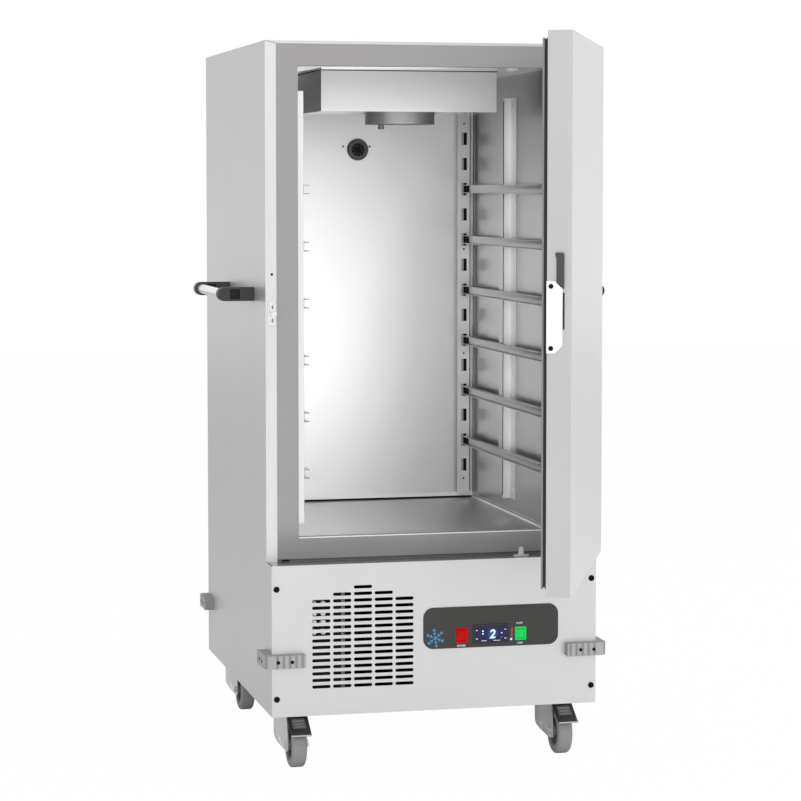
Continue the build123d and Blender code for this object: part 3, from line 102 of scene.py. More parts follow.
front_lamp = soft_lamp("front_lamp", (-0.6, -6.2, 2), (0, 0, 0.9), 3.4, 2.6, front_lamp_power)
top_lamp = soft_lamp("top_lamp", (0.2, -0.6, 4.2), (0, 0, 0.6), 3.2, 2.6, top_lamp_power)
right_lamp = soft_lamp("right_lamp", (4.2, 0.2, 1.6), (0.2, 0, 0.9), 2.4, 2.4, right_lamp_power)
soft_lamp("cabin_lamp", (-0.09, 0.015, 0.96), (-0.09, 0.65, 0.96), 0.42, 0.88, cabin_lamp_power)
for lamp in (front_lamp, right_lamp):
    lamp.visible_glossy = False

world = bpy.data.worlds.new("pale_surround")
bpy.context.scene.world = world
world.use_nodes = True
sky = world.node_tree
sky.nodes.clear()
sky_out = sky.nodes.new("ShaderNodeOutputWorld")
seen = sky.nodes.new("ShaderNodeBackground")
seen.inputs["Color"].default_value = (1, 1, 1, 1)
seen.inputs["Strength"].default_value = 1
cast = sky.nodes.new("ShaderNodeBackground")
cast.inputs["Color"].default_value = (1, 1, 1, 1)
cast.inputs["Strength"].default_value = surround_light
rays = sky.nodes.new("ShaderNodeLightPath")
seen_or_mirrored = sky.nodes.new("ShaderNodeMath")
seen_or_mirrored.operation = "MAXIMUM"
straight_or_through = sky.nodes.new("ShaderNodeMath")
straight_or_through.operation = "MAXIMUM"
choose = sky.nodes.new("ShaderNodeMixShader")
sky.links.new(rays.outputs["Is Camera Ray"], seen_or_mirrored.inputs[0])
sky.links.new(rays.outputs["Is Glossy Ray"], seen_or_mirrored.inputs[1])
sky.links.new(seen_or_mirrored.outputs[0], straight_or_through.inputs[0])
sky.links.new(rays.outputs["Is Transmission Ray"], straight_or_through.inputs[1])
sky.links.new(straight_or_through.outputs[0], choose.inputs[0])
sky.links.new(cast.outputs[0], choose.inputs[1])
sky.links.new(seen.outputs[0], choose.inputs[2])
sky.links.new(choose.outputs[0], sky_out.inputs["Surface"])


def bare_material(name):
    """New material with a principled shader: the material, its nodes, its links and its shader."""
    material = bpy.data.materials.new(name)
    material.use_nodes = True
    tree = material.node_tree
    return material, tree.nodes, tree.links, tree.nodes["Principled BSDF"]


def stand(name, mesh):
    """Object at the origin that shows a mesh."""
    piece = bpy.data.objects.new(name, mesh)
    bpy.context.scene.collection.objects.link(piece)
    return piece


floor_paint, nodes, links, shader = bare_material("floor_paint")
shader.inputs["Base Color"].default_value = (floor_shade, floor_shade, floor_shade, 1)
shader.inputs["Roughness"].default_value = 0.9
shader.inputs["Specular IOR Level"].default_value = 0
floor_glow = nodes.new("ShaderNodeEmission")
floor_rays = nodes.new("ShaderNodeLightPath")
floor_share = nodes.new("ShaderNodeMath")
floor_share.operation = "MULTIPLY"
floor_share.inputs[1].default_value = floor_whiteness
floor_mix = nodes.new("ShaderNodeMixShader")
links.new(floor_rays.outputs["Is Camera Ray"], floor_share.inputs[0])
links.new(floor_share.outputs[0], floor_mix.inputs[0])
links.new(shader.outputs[0], floor_mix.inputs[1])
links.new(floor_glow.outputs[0], floor_mix.inputs[2])
links.new(floor_mix.outputs[0], nodes["Material Output"].inputs["Surface"])
floor_mesh = bpy.data.meshes.new("studio_floor")
floor_corners = [(x, y, 0) for x, y in ((-1, -1), (1, -1), (1, 1), (-1, 1))]
floor_mesh.from_pydata(floor_corners, [], [(0, 1, 2, 3)])
floor_mesh.transform(Matrix.Scale(floor_half, 4))
floor_mesh.materials.append(floor_paint)
stand("studio_floor", floor_mesh)

# Cabinet shell: side, top, back and deck panels folded from satin stainless sheet.
# The rolling grain runs up each panel; the folded edges have a small radius that catches light.
side_shade = 0.6
lit_front_shade = 0.8
top_shade = 0.74
edge_radius = 0.0007
grain_across = 1500
grain_along = 30


def satin_steel(name, shade, grain_axis="Z", roughness=0.36, metallic=0.65, relief=0.05):
    """Satin sheet steel of one shade, its rolling grain drawn out along one axis."""
    material, nodes, links, shader = bare_material(name)
    shader.inputs["Metallic"].default_value = metallic
    place = nodes.new("ShaderNodeTexCoord")
    stretch = nodes.new("ShaderNodeMapping")
    stretch.inputs["Scale"].default_value = [
        grain_along if axis == grain_axis else grain_across for axis in "XYZ"
    ]
    grain = nodes.new("ShaderNodeTexNoise")
    grain.inputs["Scale"].default_value = 1
    grain.inputs["Detail"].default_value = 3
    cloud = nodes.new("ShaderNodeTexNoise")
    cloud.inputs["Scale"].default_value = 5
    cloud.inputs["Detail"].default_value = 2
    links.new(place.outputs["Object"], stretch.inputs["Vector"])
    links.new(stretch.outputs["Vector"], grain.inputs["Vector"])
    links.new(place.outputs["Object"], cloud.inputs["Vector"])
    polish = nodes.new("ShaderNodeMapRange")
    polish.inputs["To Min"].default_value = roughness - 0.06
    polish.inputs["To Max"].default_value = roughness + 0.06
    links.new(grain.outputs["Fac"], polish.inputs["Value"])
    links.new(polish.outputs["Result"], shader.inputs["Roughness"])
    tone = nodes.new("ShaderNodeMix")
    tone.data_type = "RGBA"
    tone.inputs["A"].default_value = (shade * 0.97, shade * 0.975, shade * 0.98, 1)
    tone.inputs["B"].default_value = (shade * 1.03, shade * 1.03, shade * 1.03, 1)
    links.new(cloud.outputs["Fac"], tone.inputs["Factor"])
    links.new(tone.outputs["Result"], shader.inputs["Base Color"])
    bump = nodes.new("ShaderNodeBump")
    bump.inputs["Strength"].default_value = relief
    bump.inputs["Distance"].default_value = 0.0002
    links.new(grain.outputs["Fac"], bump.inputs["Height"])
    links.new(bump.outputs["Normal"], shader.inputs["Normal"])
    return material


def paint_shade_by_height(material, start_z, end_z, share):
    """Paint shade into a material: its colour falls to a share of its shade between two heights."""
    tree = material.node_tree
    shader = tree.nodes["Principled BSDF"]
    plain = shader.inputs["Base Color"].links[0].from_socket
    place = tree.nodes.new("ShaderNodeTexCoord")
    height = tree.nodes.new("ShaderNodeSeparateXYZ")
    fade = tree.nodes.new("ShaderNodeMapRange")
    fade.interpolation_type = "SMOOTHSTEP"
    fade.inputs["From Min"].default_value = start_z
    fade.inputs["From Max"].default_value = end_z
    fade.inputs["To Min"].default_value = 1
    fade.inputs["To Max"].default_value = share
    dimmed = tree.nodes.new("ShaderNodeVectorMath")
    dimmed.operation = "SCALE"
    tree.links.new(place.outputs["Object"], height.inputs["Vector"])
    tree.links.new(height.outputs["Z"], fade.inputs["Value"])
    tree.links.new(plain, dimmed.inputs["Vector"])
    tree.links.new(fade.outputs["Result"], dimmed.inputs["Scale"])
    tree.links.new(dimmed.outputs["Vector"], shader.inputs["Base Color"])


def dress(material, *names):
    """Give CAD parts that keep their shape their finish."""
    for name in names:
        mesh = frame["nodes"][name].data
        mesh.materials.clear()
        mesh.materials.append(material)


def body_of(node):
    """CAD body that a node belongs to."""
    return frame["nodes"][node]["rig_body"]


def rounded(node, name, material, radius, steps=2, crease=30):
    """Stand-in for a CAD part with the same form and its sharp edges rounded off."""
    mesh = frame["nodes"][node].data.copy()
    mesh.name = name
    form = bmesh.new()
    form.from_mesh(mesh)
    bmesh.ops.remove_doubles(form, verts=form.verts, dist=0.000001)
    flat = math.radians(0.5)
    bmesh.ops.dissolve_limit(form, angle_limit=flat, verts=form.verts, edges=form.edges)
    form.to_mesh(mesh)
    form.free()
    mesh.materials.clear()
    mesh.materials.append(material)
    piece = stand(name, mesh)
    roll_edges(piece, radius, steps, crease)
    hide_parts(node)
    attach(piece, body_of(node))
    return piece


def roll_edges(piece, radius, steps, crease):
    """Round a piece's sharp edges off; its flat faces keep their even shading."""
    for face in piece.data.polygons:
        face.use_smooth = True
    piece.data.set_sharp_from_angle(angle=math.radians(crease))
    roll = piece.modifiers.new("rolled edge", "BEVEL")
    roll.width = radius
    roll.segments = steps
    roll.limit_method = "ANGLE"
    roll.angle_limit = math.radians(crease)
    roll.harden_normals = True
    settle(piece)


def finish_where(piece, material, chosen):
    """Give the faces that a test picks, by their middle and direction, a finish of their own."""
    piece.data.materials.append(material)
    index = len(piece.data.materials) - 1
    for face in piece.data.polygons:
        if chosen(face.center, face.normal):
            face.material_index = index


def settle(piece):
    """Apply a piece's modifiers, so that it is a plain mesh."""
    bpy.context.view_layer.update()
    seen_piece = piece.evaluated_get(bpy.context.evaluated_depsgraph_get())
    mesh = bpy.data.meshes.new_from_object(seen_piece)
    piece.modifiers.clear()
    old = piece.data
    piece.data = mesh
    mesh.name = piece.name
    bpy.data.meshes.remove(old)


side_steel = satin_steel("side_steel", side_shade)
strip_steel = satin_steel("strip_steel", lit_front_shade)
top_steel = satin_steel("top_steel", top_shade)
# Painted light and shade: the front faces of each side sheet get a lighter copy of the same steel, and the
# sides are painted darker towards the top.
paint_shade_by_height(side_steel, 1, 1.56, 0.86)
for side in ("left", "right"):
    side_sheet = rounded(
        f"{side}_side_panel", f"{side}_side_sheet", side_steel, edge_radius
    )
    finish_where(side_sheet, strip_steel, lambda middle, facing: facing.y < -0.9)
rounded("top_panel", "top_sheet", top_steel, edge_radius)
rounded("back_panel", "back_sheet", top_steel, 0.0004)
rounded("deck_panel", "deck_sheet", top_steel, 0.0004)

# Thermal break: a grey plastic frame between the shell and the liner, moulded with a fine matt
# skin and painted darker towards its foot as shade. A groove runs along its foot, its faces
# painted near-black as shade, and a drain slot opens at the left of the groove.
frame_shade = (0.36, 0.352, 0.35, 1)
groove_shade = 0.12
ledge_z = 0.446
groove_top_z = 0.4515


def moulded_plastic(name, colour, roughness=0.5, pebble=0.04, pebble_scale=1800):
    """Moulded plastic with a fine matt skin and a slight unevenness of colour."""
    material, nodes, links, shader = bare_material(name)
    shader.inputs["Roughness"].default_value = roughness
    place = nodes.new("ShaderNodeTexCoord")
    skin = nodes.new("ShaderNodeTexNoise")
    skin.inputs["Scale"].default_value = pebble_scale
    skin.inputs["Detail"].default_value = 2
    cloud = nodes.new("ShaderNodeTexNoise")
    cloud.inputs["Scale"].default_value = 14
    cloud.inputs["Detail"].default_value = 3
    links.new(place.outputs["Object"], skin.inputs["Vector"])
    links.new(place.outputs["Object"], cloud.inputs["Vector"])
    tone = nodes.new("ShaderNodeMix")
    tone.data_type = "RGBA"
    tone.inputs["A"].default_value = [channel * 0.94 for channel in colour[:3]] + [1]
    tone.inputs["B"].default_value = [channel * 1.06 for channel in colour[:3]] + [1]
    links.new(cloud.outputs["Fac"], tone.inputs["Factor"])
    links.new(tone.outputs["Result"], shader.inputs["Base Color"])
    bump = nodes.new("ShaderNodeBump")
    bump.inputs["Strength"].default_value = pebble
    bump.inputs["Distance"].default_value = 0.0003
    links.new(skin.outputs["Fac"], bump.inputs["Height"])
    links.new(bump.outputs["Normal"], shader.inputs["Normal"])
    return material


frame_plastic = moulded_plastic("frame_plastic", frame_shade, 0.55)
groove_plastic = moulded_plastic("groove_plastic", (groove_shade, groove_shade, groove_shade, 1))
break_frame = rounded("breaker_frame", "thermal_break", frame_plastic, edge_radius)
# Painted shade: the faces of the groove are near-black.
finish_where(
    break_frame,
    groove_plastic,
    lambda middle, facing: middle.z < groove_top_z and -0.0675 < middle.y < -0.064,
)
# Painted shade: the frame is darker towards its foot.
paint_shade_by_height(frame_plastic, 0.53, 0.475, 0.76)

# Cold room: walls, back and ceiling of thin sheet and a pressed floor pan. The back and ceiling
# are pale; the walls are the same steel painted much darker as shade, and darker still towards
# their top. The foam behind them is never seen.
darkened_wall_shade = 0.36
back_wall_shade = 0.97
ceiling_shade = 0.95
pan_shade = 0.44
lit_upstand_shade = 0.97
sealant_and_shade_level = 0.012
foam_colour = (0.82, 0.74, 0.52, 1)
cabin_back_y = 0.6509
cabin_floor_z = 0.484
# Painted shade: the walls are a much darker copy of the steel of the back and ceiling, darker still towards
# their top.
wall_steel = satin_steel("wall_steel", darkened_wall_shade, roughness=0.3, metallic=0.9)
paint_shade_by_height(wall_steel, 1.05, 1.46, 0.44)
back_wall_steel = satin_steel("back_wall_steel", back_wall_shade, roughness=0.46, metallic=0.9)
ceiling_steel = satin_steel("ceiling_steel", ceiling_shade, "X", roughness=0.16, metallic=0.9)
pan_steel = satin_steel("pan_steel", pan_shade, "X", roughness=0.3)
upstand_steel = satin_steel("upstand_steel", lit_upstand_shade, "Y", roughness=0.3, metallic=0.2)
foam_block = moulded_plastic("foam_block", foam_colour, 0.9, pebble=0.3, pebble_scale=700)
# Near-black, for real sealant and dark joints, and also for shade painted into gaps, holes and hollows.
gap_sealant = moulded_plastic("gap_sealant", (sealant_and_shade_level, sealant_and_shade_level, sealant_and_shade_level, 1), 0.7)
liner = rounded("liner_walls", "liner_sheets", wall_steel, 0.0003)
finish_where(liner, back_wall_steel, lambda middle, facing: facing.y < -0.9 and middle.y > 0.6)
finish_where(liner, ceiling_steel, lambda middle, facing: facing.z < -0.9 and middle.z > 1.5)
floor_pan = rounded("liner_floor_pan", "floor_tray", pan_steel, 0.0003)
# Painted light: the side upstands of the pan get a pale, barely metallic copy of the steel.
finish_where(
    floor_pan,
    upstand_steel,
    lambda middle, facing: abs(facing.x) > 0.9 and middle.z > cabin_floor_z,
)
# Painted shade: the pan's faces behind the back wall are near-black.
finish_where(floor_pan, gap_sealant, lambda middle, facing: middle.y > cabin_back_y + 0.001)
dress(foam_block, "foam_insulation", "door_foam")


def lathe(form, profile, place, axis, steps=32):
    """Add a turned shape to a mesh: profile points are (distance along the axis, radius)."""
    along = "XYZ".index(axis)
    across = [i for i in range(3) if i != along]
    rings = []
    for distance, radius in profile:
        ring = []
        for step in range(steps if radius > 0 else 1):
            angle = 2 * math.pi * step / steps
            point = list(place)
            point[along] += distance
            point[across[0]] += radius * math.cos(angle)
            point[across[1]] += radius * math.sin(angle)
            ring.append(form.verts.new(point))
        rings.append(ring)
    for first, second in zip(rings, rings[1:]):
        for step in range(steps):
            after = (step + 1) % steps
            corners = []
            for ring, index in ((first, step), (first, after), (second, after), (second, step)):
                corner = ring[index % len(ring)]
                if corner not in corners:
                    corners.append(corner)
            if len(corners) > 2:
                form.faces.new(corners)
    for ring in (rings[0], rings[-1]):
        if len(ring) > 1:
            form.faces.new(ring)


def block(form, low, high):
    """Add a box between two corners to a mesh."""
    corners = [[(low, high)[bit][i] for i, bit in enumerate(bits)] for bits in (
        (0, 0, 0), (1, 0, 0), (1, 1, 0), (0, 1, 0), (0, 0, 1), (1, 0, 1), (1, 1, 1), (0, 1, 1)
    )]
    points = [form.verts.new(corner) for corner in corners]
    for face in ((0, 3, 2, 1), (4, 5, 6, 7), (0, 1, 5, 4), (1, 2, 6, 5), (2, 3, 7, 6), (3, 0, 4, 7)):
        form.faces.new([points[i] for i in face])


def prism(form, outline, shift):
    """Add a plate to a mesh: the points of its outline, and the vector of its thickness."""
    near = [form.verts.new(point) for point in outline]
    far = [form.verts.new(Vector(point) + Vector(shift)) for point in outline]
    form.faces.new(near)
    form.faces.new(list(reversed(far)))
    for i in range(len(outline)):
        after = (i + 1) % len(outline)
        form.faces.new([near[after], near[i], far[i], far[after]])


def finished(name, form, body, material, radius=0, steps=2):
    """Turn a mesh under construction into a piece of the cart that rides on a body."""
    bmesh.ops.recalc_face_normals(form, faces=form.faces)
    mesh = bpy.data.meshes.new(name)
    form.to_mesh(mesh)
    form.free()
    mesh.materials.append(material)
    piece = stand(name, mesh)
    if radius:
        roll_edges(piece, radius, steps, 30)
    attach(piece, body)
    return piece


# The back wall ends in a folded foot, pale as painted light, above a gap filled near-black as
# painted shade. A thin pale strip along the front rim is a painted highlight. The drain opening in
# the groove is filled near-black as painted shade, and a dark line of sealant runs along each side
# fold of the pan.
room_half = 0.289
foot_low_z = 0.4886
foot_high_z = 0.4965
foot = bmesh.new()
block(foot, (-room_half, cabin_back_y - 0.0014, foot_low_z), (room_half, cabin_back_y, foot_high_z))
finished("back_wall_foot", foot, "root", upstand_steel, 0.0004)
rim = bmesh.new()
block(rim, (-room_half, -0.0683, 0.4955), (room_half, -0.0668, 0.4979))
finished("front_rim_bead", rim, "root", upstand_steel, 0.0005)
seals_and_shade_fills = bmesh.new()
block(seals_and_shade_fills, (-room_half, cabin_back_y + 0.001, cabin_floor_z + 0.0002), (room_half, 0.6528, 0.4925))
block(seals_and_shade_fills, (-0.3254, -0.0646, ledge_z + 0.0002), (-0.3089, -0.064, ledge_z + 0.0048))
for side in (-1, 1):
    low_x, high_x = sorted((side * (room_half - 0.0011), side * (room_half - 0.0008)))
    block(seals_and_shade_fills, (low_x, -0.04, 0.4905), (high_x, cabin_back_y - 0.002, 0.4925))
finished("cold_room_seals", seals_and_shade_fills, "root", gap_sealant)

# A fine mitre joins the strips to the top panel at both upper front corners.
mitres = bmesh.new()
mitre_half = Vector((0, 0, 0.0004))
for side in (-1, 1):
    outer = Vector((side * 0.3598, -0.0681, 1.5576))
    inner = Vector((side * 0.336, -0.0681, 1.5516))
    prism(
        mitres,
        [outer - mitre_half, inner - mitre_half, inner + mitre_half, outer + mitre_half],
        (0, -0.0002, 0),
    )
finished("corner_mitres", mitres, "root", gap_sealant)

# Uprights and tray runners: bent strip. Rivets fix the front and mid uprights to the walls; the
# rear ones have a column of hanging slots, in which the runners hook. The inside of their hollow
# is painted near-black as shade.
upright_shade = 0.97
mid_upright_shade = 0.66
rear_upright_shade = 0.85
runner_shade = 0.4
rivet_radius = 0.0032
rivet_height = 0.0016
rivet_rows = 5
strip_sheet = 0.0015
mid_low_z = 0.522
mid_high_z = 1.453
mid_wall_x = 0.289
mid_web_y = 0.3074
mid_lip_x = 0.2695
mid_front_y = 0.2634
mid_back_y = 0.3399
rail_low_z = 0.496
rail_high_z = 1.425
rail_inner_x = 0.247
rail_outer_x = 0.277
rail_face_y = 0.6339
rail_flange_x = 0.2875
hanging_slots = 14
slot_inner_x = 0.2565
slot_outer_x = 0.2697
slot_height = 0.03
first_slot_z = 0.567
slot_step = 0.0614
shade_bar_levels = 6
first_shade_bar_z = 0.6289
shade_bar_step = 0.1228
shade_bar_half = 0.0078
upright_steel = satin_steel("upright_steel", upright_shade, roughness=0.36, relief=0.02)
mid_steel = satin_steel("mid_upright_steel", mid_upright_shade, roughness=0.36, relief=0.02)
rear_steel = satin_steel("rear_upright_steel", rear_upright_shade, roughness=0.38, relief=0.02)
runner_steel = satin_steel("runner_steel", runner_shade, "Y", roughness=0.34, relief=0.02)
rounded("front_uprights", "front_angles", upright_steel, 0.0005)
for side in ("left", "right"):
    rounded(f"{side}_runners", f"{side}_rails", runner_steel, 0.0005)

# The mid uprights are folded twice: a flange on the wall, a web that stands off it and a lip.
mid_angles = bmesh.new()
mid_corners = [
    (mid_wall_x - strip_sheet, mid_front_y), (mid_wall_x, mid_front_y), (mid_wall_x, mid_web_y),
    (mid_lip_x + strip_sheet, mid_web_y), (mid_lip_x + strip_sheet, mid_back_y),
    (mid_lip_x, mid_back_y), (mid_lip_x, mid_web_y - strip_sheet),
    (mid_wall_x - strip_sheet, mid_web_y - strip_sheet),
]
for side in (-1, 1):
    outline = [(side * x, y, mid_low_z) for x, y in mid_corners]
    prism(mid_angles, outline, (0, 0, mid_high_z - mid_low_z))
mid_piece = finished("mid_angles", mid_angles, "root", mid_steel, 0.0004)
# Painted light and shade: the front faces get the paler upright steel and the lips the darkened wall steel,
# lit and shaded copies of one sheet.
finish_where(mid_piece, upright_steel, lambda middle, facing: facing.y < -0.9)
finish_where(
    mid_piece,
    wall_steel,
    lambda middle, facing: abs(middle.x) < mid_lip_x + 0.0004 and abs(facing.x) > 0.9,
)
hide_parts("mid_supports")


def slotted_rail(form, side):
    """Add one rear upright: a face plate with its column of slots, a web and a rear flange."""
    heights = [rail_low_z]
    for slot in range(hanging_slots):
        middle = first_slot_z + slot * slot_step
        heights += [middle - slot_height / 2, middle + slot_height / 2]
    heights.append(rail_high_z)
    grid = [
        [form.verts.new((side * x, rail_face_y, z)) for z in heights]
        for x in (rail_inner_x, slot_inner_x, slot_outer_x, rail_outer_x)
    ]
    cells = []
    for column in range(3):
        for row in range(len(heights) - 1):
            if column == 1 and row % 2 == 1:
                continue
            near, far = grid[column], grid[column + 1]
            cells.append(form.faces.new([near[row], far[row], far[row + 1], near[row + 1]]))
    grown = bmesh.ops.extrude_face_region(form, geom=cells, use_keep_orig=True)
    moved = [item for item in grown["geom"] if isinstance(item, bmesh.types.BMVert)]
    bmesh.ops.translate(form, verts=moved, vec=(0, strip_sheet, 0))
    corners = [
        (rail_outer_x - strip_sheet, rail_face_y + strip_sheet),
        (rail_outer_x, rail_face_y + strip_sheet),
        (rail_outer_x, cabin_back_y - strip_sheet),
        (rail_flange_x, cabin_back_y - strip_sheet),
        (rail_flange_x, cabin_back_y),
        (rail_outer_x - strip_sheet, cabin_back_y),
    ]
    prism(form, [(side * x, y, rail_low_z) for x, y in corners], (0, 0, rail_high_z - rail_low_z))


rear_rails = bmesh.new()
for side in (-1, 1):
    slotted_rail(rear_rails, side)
bmesh.ops.dissolve_limit(
    rear_rails, angle_limit=math.radians(0.5), verts=rear_rails.verts, edges=rear_rails.edges
)
rear_piece = finished("rear_hanging_rails", rear_rails, "root", rear_steel, 0.0003)
rail_web_x = rail_outer_x - strip_sheet
rail_face_back_y = rail_face_y + strip_sheet
# Painted shade: the inner faces of the hollow and the sides of the slots are near-black.
finish_where(
    rear_piece,
    gap_sealant,
    lambda middle, facing: abs(abs(middle.x) - rail_web_x) < 0.0004 and abs(facing.x) > 0.9,
)
finish_where(
    rear_piece,
    gap_sealant,
    lambda middle, facing: abs(middle.y - rail_face_back_y) < 0.0004 and facing.y > 0.9,
)
finish_where(
    rear_piece,
    gap_sealant,
    lambda middle, facing: middle.y < rail_face_back_y and abs(facing.y) < 0.1
    and slot_inner_x - 0.001 < abs(middle.x) < slot_outer_x + 0.001,
)
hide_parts("rear_uprights")

# Near-black blocks paint the shade in the hollow of the rear uprights, along their outer corner
# and on the wall next to them, and in the inner corner of each mid lip; at each tray level black
# bars paint the shade inside the rear end of the runner. A grey pad in the left part of each slot
# stands in for the lit inner side of the slot: painted light.
for side, sign in (("left", -1), ("right", 1)):
    shade_fill = bmesh.new()
    for near_x, far_x, near_y, far_y, low_z, high_z in (
        (0.2625, 0.275, 0.641, 0.6505, 0.5, 1.42),
        (0.281, 0.2828, 0.6486, 0.6494, 0.5, 1.42),
        (0.2886, 0.289, 0.642, 0.645, 0.5, 1.42),
        (mid_lip_x - 0.0004, mid_lip_x + 0.0014, 0.3053, 0.3059, 0.53, 1.445),
    ):
        low_x, high_x = sorted((sign * near_x, sign * far_x))
        block(shade_fill, (low_x, near_y, low_z), (high_x, far_y, high_z))
    for level in range(shade_bar_levels):
        z = first_shade_bar_z + level * shade_bar_step
        for near_x, far_x, near_y, far_y in (
            (0.2606, 0.265, 0.6196, 0.6208),
            (0.2674, 0.268, 0.608, 0.6275),
        ):
            low_x, high_x = sorted((sign * near_x, sign * far_x))
            block(shade_fill, (low_x, near_y, z - shade_bar_half), (high_x, far_y, z + shade_bar_half))
    finished(f"{side}_upright_seals", shade_fill, "root", gap_sealant, 0.0002)
    pad = bmesh.new()
    low_x, high_x = sorted((sign * 0.2545, sign * 0.262))
    block(pad, (low_x, 0.6347, 0.55), (high_x, 0.6359, 1.385))
    finished(f"{side}_channel_pad", pad, "root", frame_plastic, 0.0003)


def fixings_tree():
    """Node tree that stands one head on each point, turned the same way."""
    tree = bpy.data.node_groups.new("fixings", "GeometryNodeTree")
    face = tree.interface
    face.new_socket("Spots", in_out="INPUT", socket_type="NodeSocketGeometry")
    face.new_socket("Head", in_out="INPUT", socket_type="NodeSocketObject")
    face.new_socket("Turn", in_out="INPUT", socket_type="NodeSocketVector")
    face.new_socket("Size", in_out="INPUT", socket_type="NodeSocketFloat")
    face.new_socket("Finish", in_out="INPUT", socket_type="NodeSocketMaterial")
    face.new_socket("Heads", in_out="OUTPUT", socket_type="NodeSocketGeometry")
    given = tree.nodes.new("NodeGroupInput")
    result = tree.nodes.new("NodeGroupOutput")
    template = tree.nodes.new("GeometryNodeObjectInfo")
    stood = tree.nodes.new("GeometryNodeInstanceOnPoints")
    solid = tree.nodes.new("GeometryNodeRealizeInstances")
    coat = tree.nodes.new("GeometryNodeSetMaterial")
    link = tree.links.new
    link(given.outputs["Spots"], stood.inputs["Points"])
    link(given.outputs["Head"], template.inputs["Object"])
    link(template.outputs["Geometry"], stood.inputs["Instance"])
    link(given.outputs["Turn"], stood.inputs["Rotation"])
    link(given.outputs["Size"], stood.inputs["Scale"])
    link(stood.outputs["Instances"], solid.inputs["Geometry"])
    link(solid.outputs["Geometry"], coat.inputs["Geometry"])
    link(given.outputs["Finish"], coat.inputs["Material"])
    link(coat.outputs["Geometry"], result.inputs["Heads"])
    return tree


fixings = fixings_tree()


def set_inputs(modifier, **values):
    """Set a node modifier's inputs, each found by its name and set by its identifier."""
    for item in modifier.node_group.interface.items_tree:
        if item.item_type == "SOCKET" and item.in_out == "INPUT" and item.name in values:
            modifier[item.identifier] = values[item.name]


def fixing_head(name, profile, steps=20):
    """Template of a screw or rivet head that points up from the origin."""
    form = bmesh.new()
    lathe(form, profile, (0, 0, 0), "Z", steps)
    bmesh.ops.recalc_face_normals(form, faces=form.faces)
    for face in form.faces:
        face.smooth = True
    mesh = bpy.data.meshes.new(name)
    form.to_mesh(mesh)
    form.free()
    mesh.set_sharp_from_angle(angle=math.radians(50))
    return mesh


facing_front = (math.pi / 2, 0, 0)
facing_left = (0, -math.pi / 2, 0)
facing_right = (0, math.pi / 2, 0)
facing_up = (0, 0, 0)


def fix(name, head, spots, turn, body, material, size=1):
    """Heads on their spots, as one piece of the cart."""
    mesh = bpy.data.meshes.new(name)
    mesh.from_pydata(spots, [], [])
    piece = stand(name, mesh)
    template = stand("template", head)
    modifier = piece.modifiers.new("fixings", "NODES")
    modifier.node_group = fixings
    set_inputs(modifier, Head=template, Turn=turn, Size=size, Finish=material)
    settle(piece)
    bpy.data.objects.remove(template)
    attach(piece, body)
    return piece


rivet_head = fixing_head(
    "rivet_head",
    [(0, rivet_radius), (rivet_height * 0.6, rivet_radius * 0.85), (rivet_height, rivet_radius * 0.3),
     (rivet_height, 0)],
)

wall_rivet_x = 0.2875
front_flange_y = -0.0105
mid_flange_y = 0.284
upright_low = 0.545
upright_high = 1.43
upright_rise = (upright_high - upright_low) / (rivet_rows - 1)
rail_screw_x = 0.2624
rail_screw_zs = (0.5332, 0.8413, 1.0964, 1.4018)
wall_screw_x = 0.289
wall_screw_y = 0.379
wall_screw_zs = (0.546, 1.4255)
black_steel = moulded_plastic("black_steel", (0.006, 0.006, 0.006, 1), 0.45, pebble=0.02)


def dull(sheen, *materials):
    """Take most of the studio's pale reflection off dark or lit materials."""
    for material in materials:
        shader = material.node_tree.nodes["Principled BSDF"]
        shader.inputs["Specular IOR Level"].default_value = sheen


dull(0.1, black_steel, gap_sealant)
rail_screw = fixing_head(
    "rail_screw", [(0, 0.0024), (0.0005, 0.0022), (0.0005, 0.0012), (0.0001, 0.001), (0.0001, 0)]
)
for side, sign, turn in (("left", -1, facing_right), ("right", 1, facing_left)):
    wall_spots = [
        (sign * wall_rivet_x, y, upright_low + row * upright_rise)
        for y in (front_flange_y, mid_flange_y)
        for row in range(rivet_rows)
    ]
    fix(f"{side}_upright_rivets", rivet_head, wall_spots, turn, "root", upright_steel)
    rail_spots = [(sign * rail_screw_x, rail_face_y, z) for z in rail_screw_zs]
    fix(f"{side}_rail_screws", rail_screw, rail_spots, facing_front, "root",
        black_steel)
    wall_screws = [(sign * wall_screw_x, wall_screw_y, z) for z in wall_screw_zs]
    fix(f"{side}_wall_screws", rail_screw, wall_screws, turn, "root", black_steel)

# Evaporator: a folded steel cover hung from the ceiling over a finned coil, with a fan ring and
# its fan below. The gland of the air sensor is screwed into the rim of the ring.
cover_shade = 0.68
darkened_cover_side_shade = 0.36
fin_shade = 0.82
ring_shade = 0.25
cover_steel = satin_steel("cover_steel", cover_shade, "X", roughness=0.33, metallic=0.5)
fin_metal = satin_steel("fin_metal", fin_shade, roughness=0.4, metallic=0.9)
ring_metal = satin_steel("ring_metal", ring_shade, "Z", roughness=0.38)
dark_plastic = moulded_plastic("dark_plastic", (0.022, 0.022, 0.023, 1), 0.42)
cover_side_steel = satin_steel("cover_side_steel", darkened_cover_side_shade, "Y", roughness=0.33)
evaporator_case = rounded("evaporator_cover", "evaporator_case", cover_steel, 0.0006)
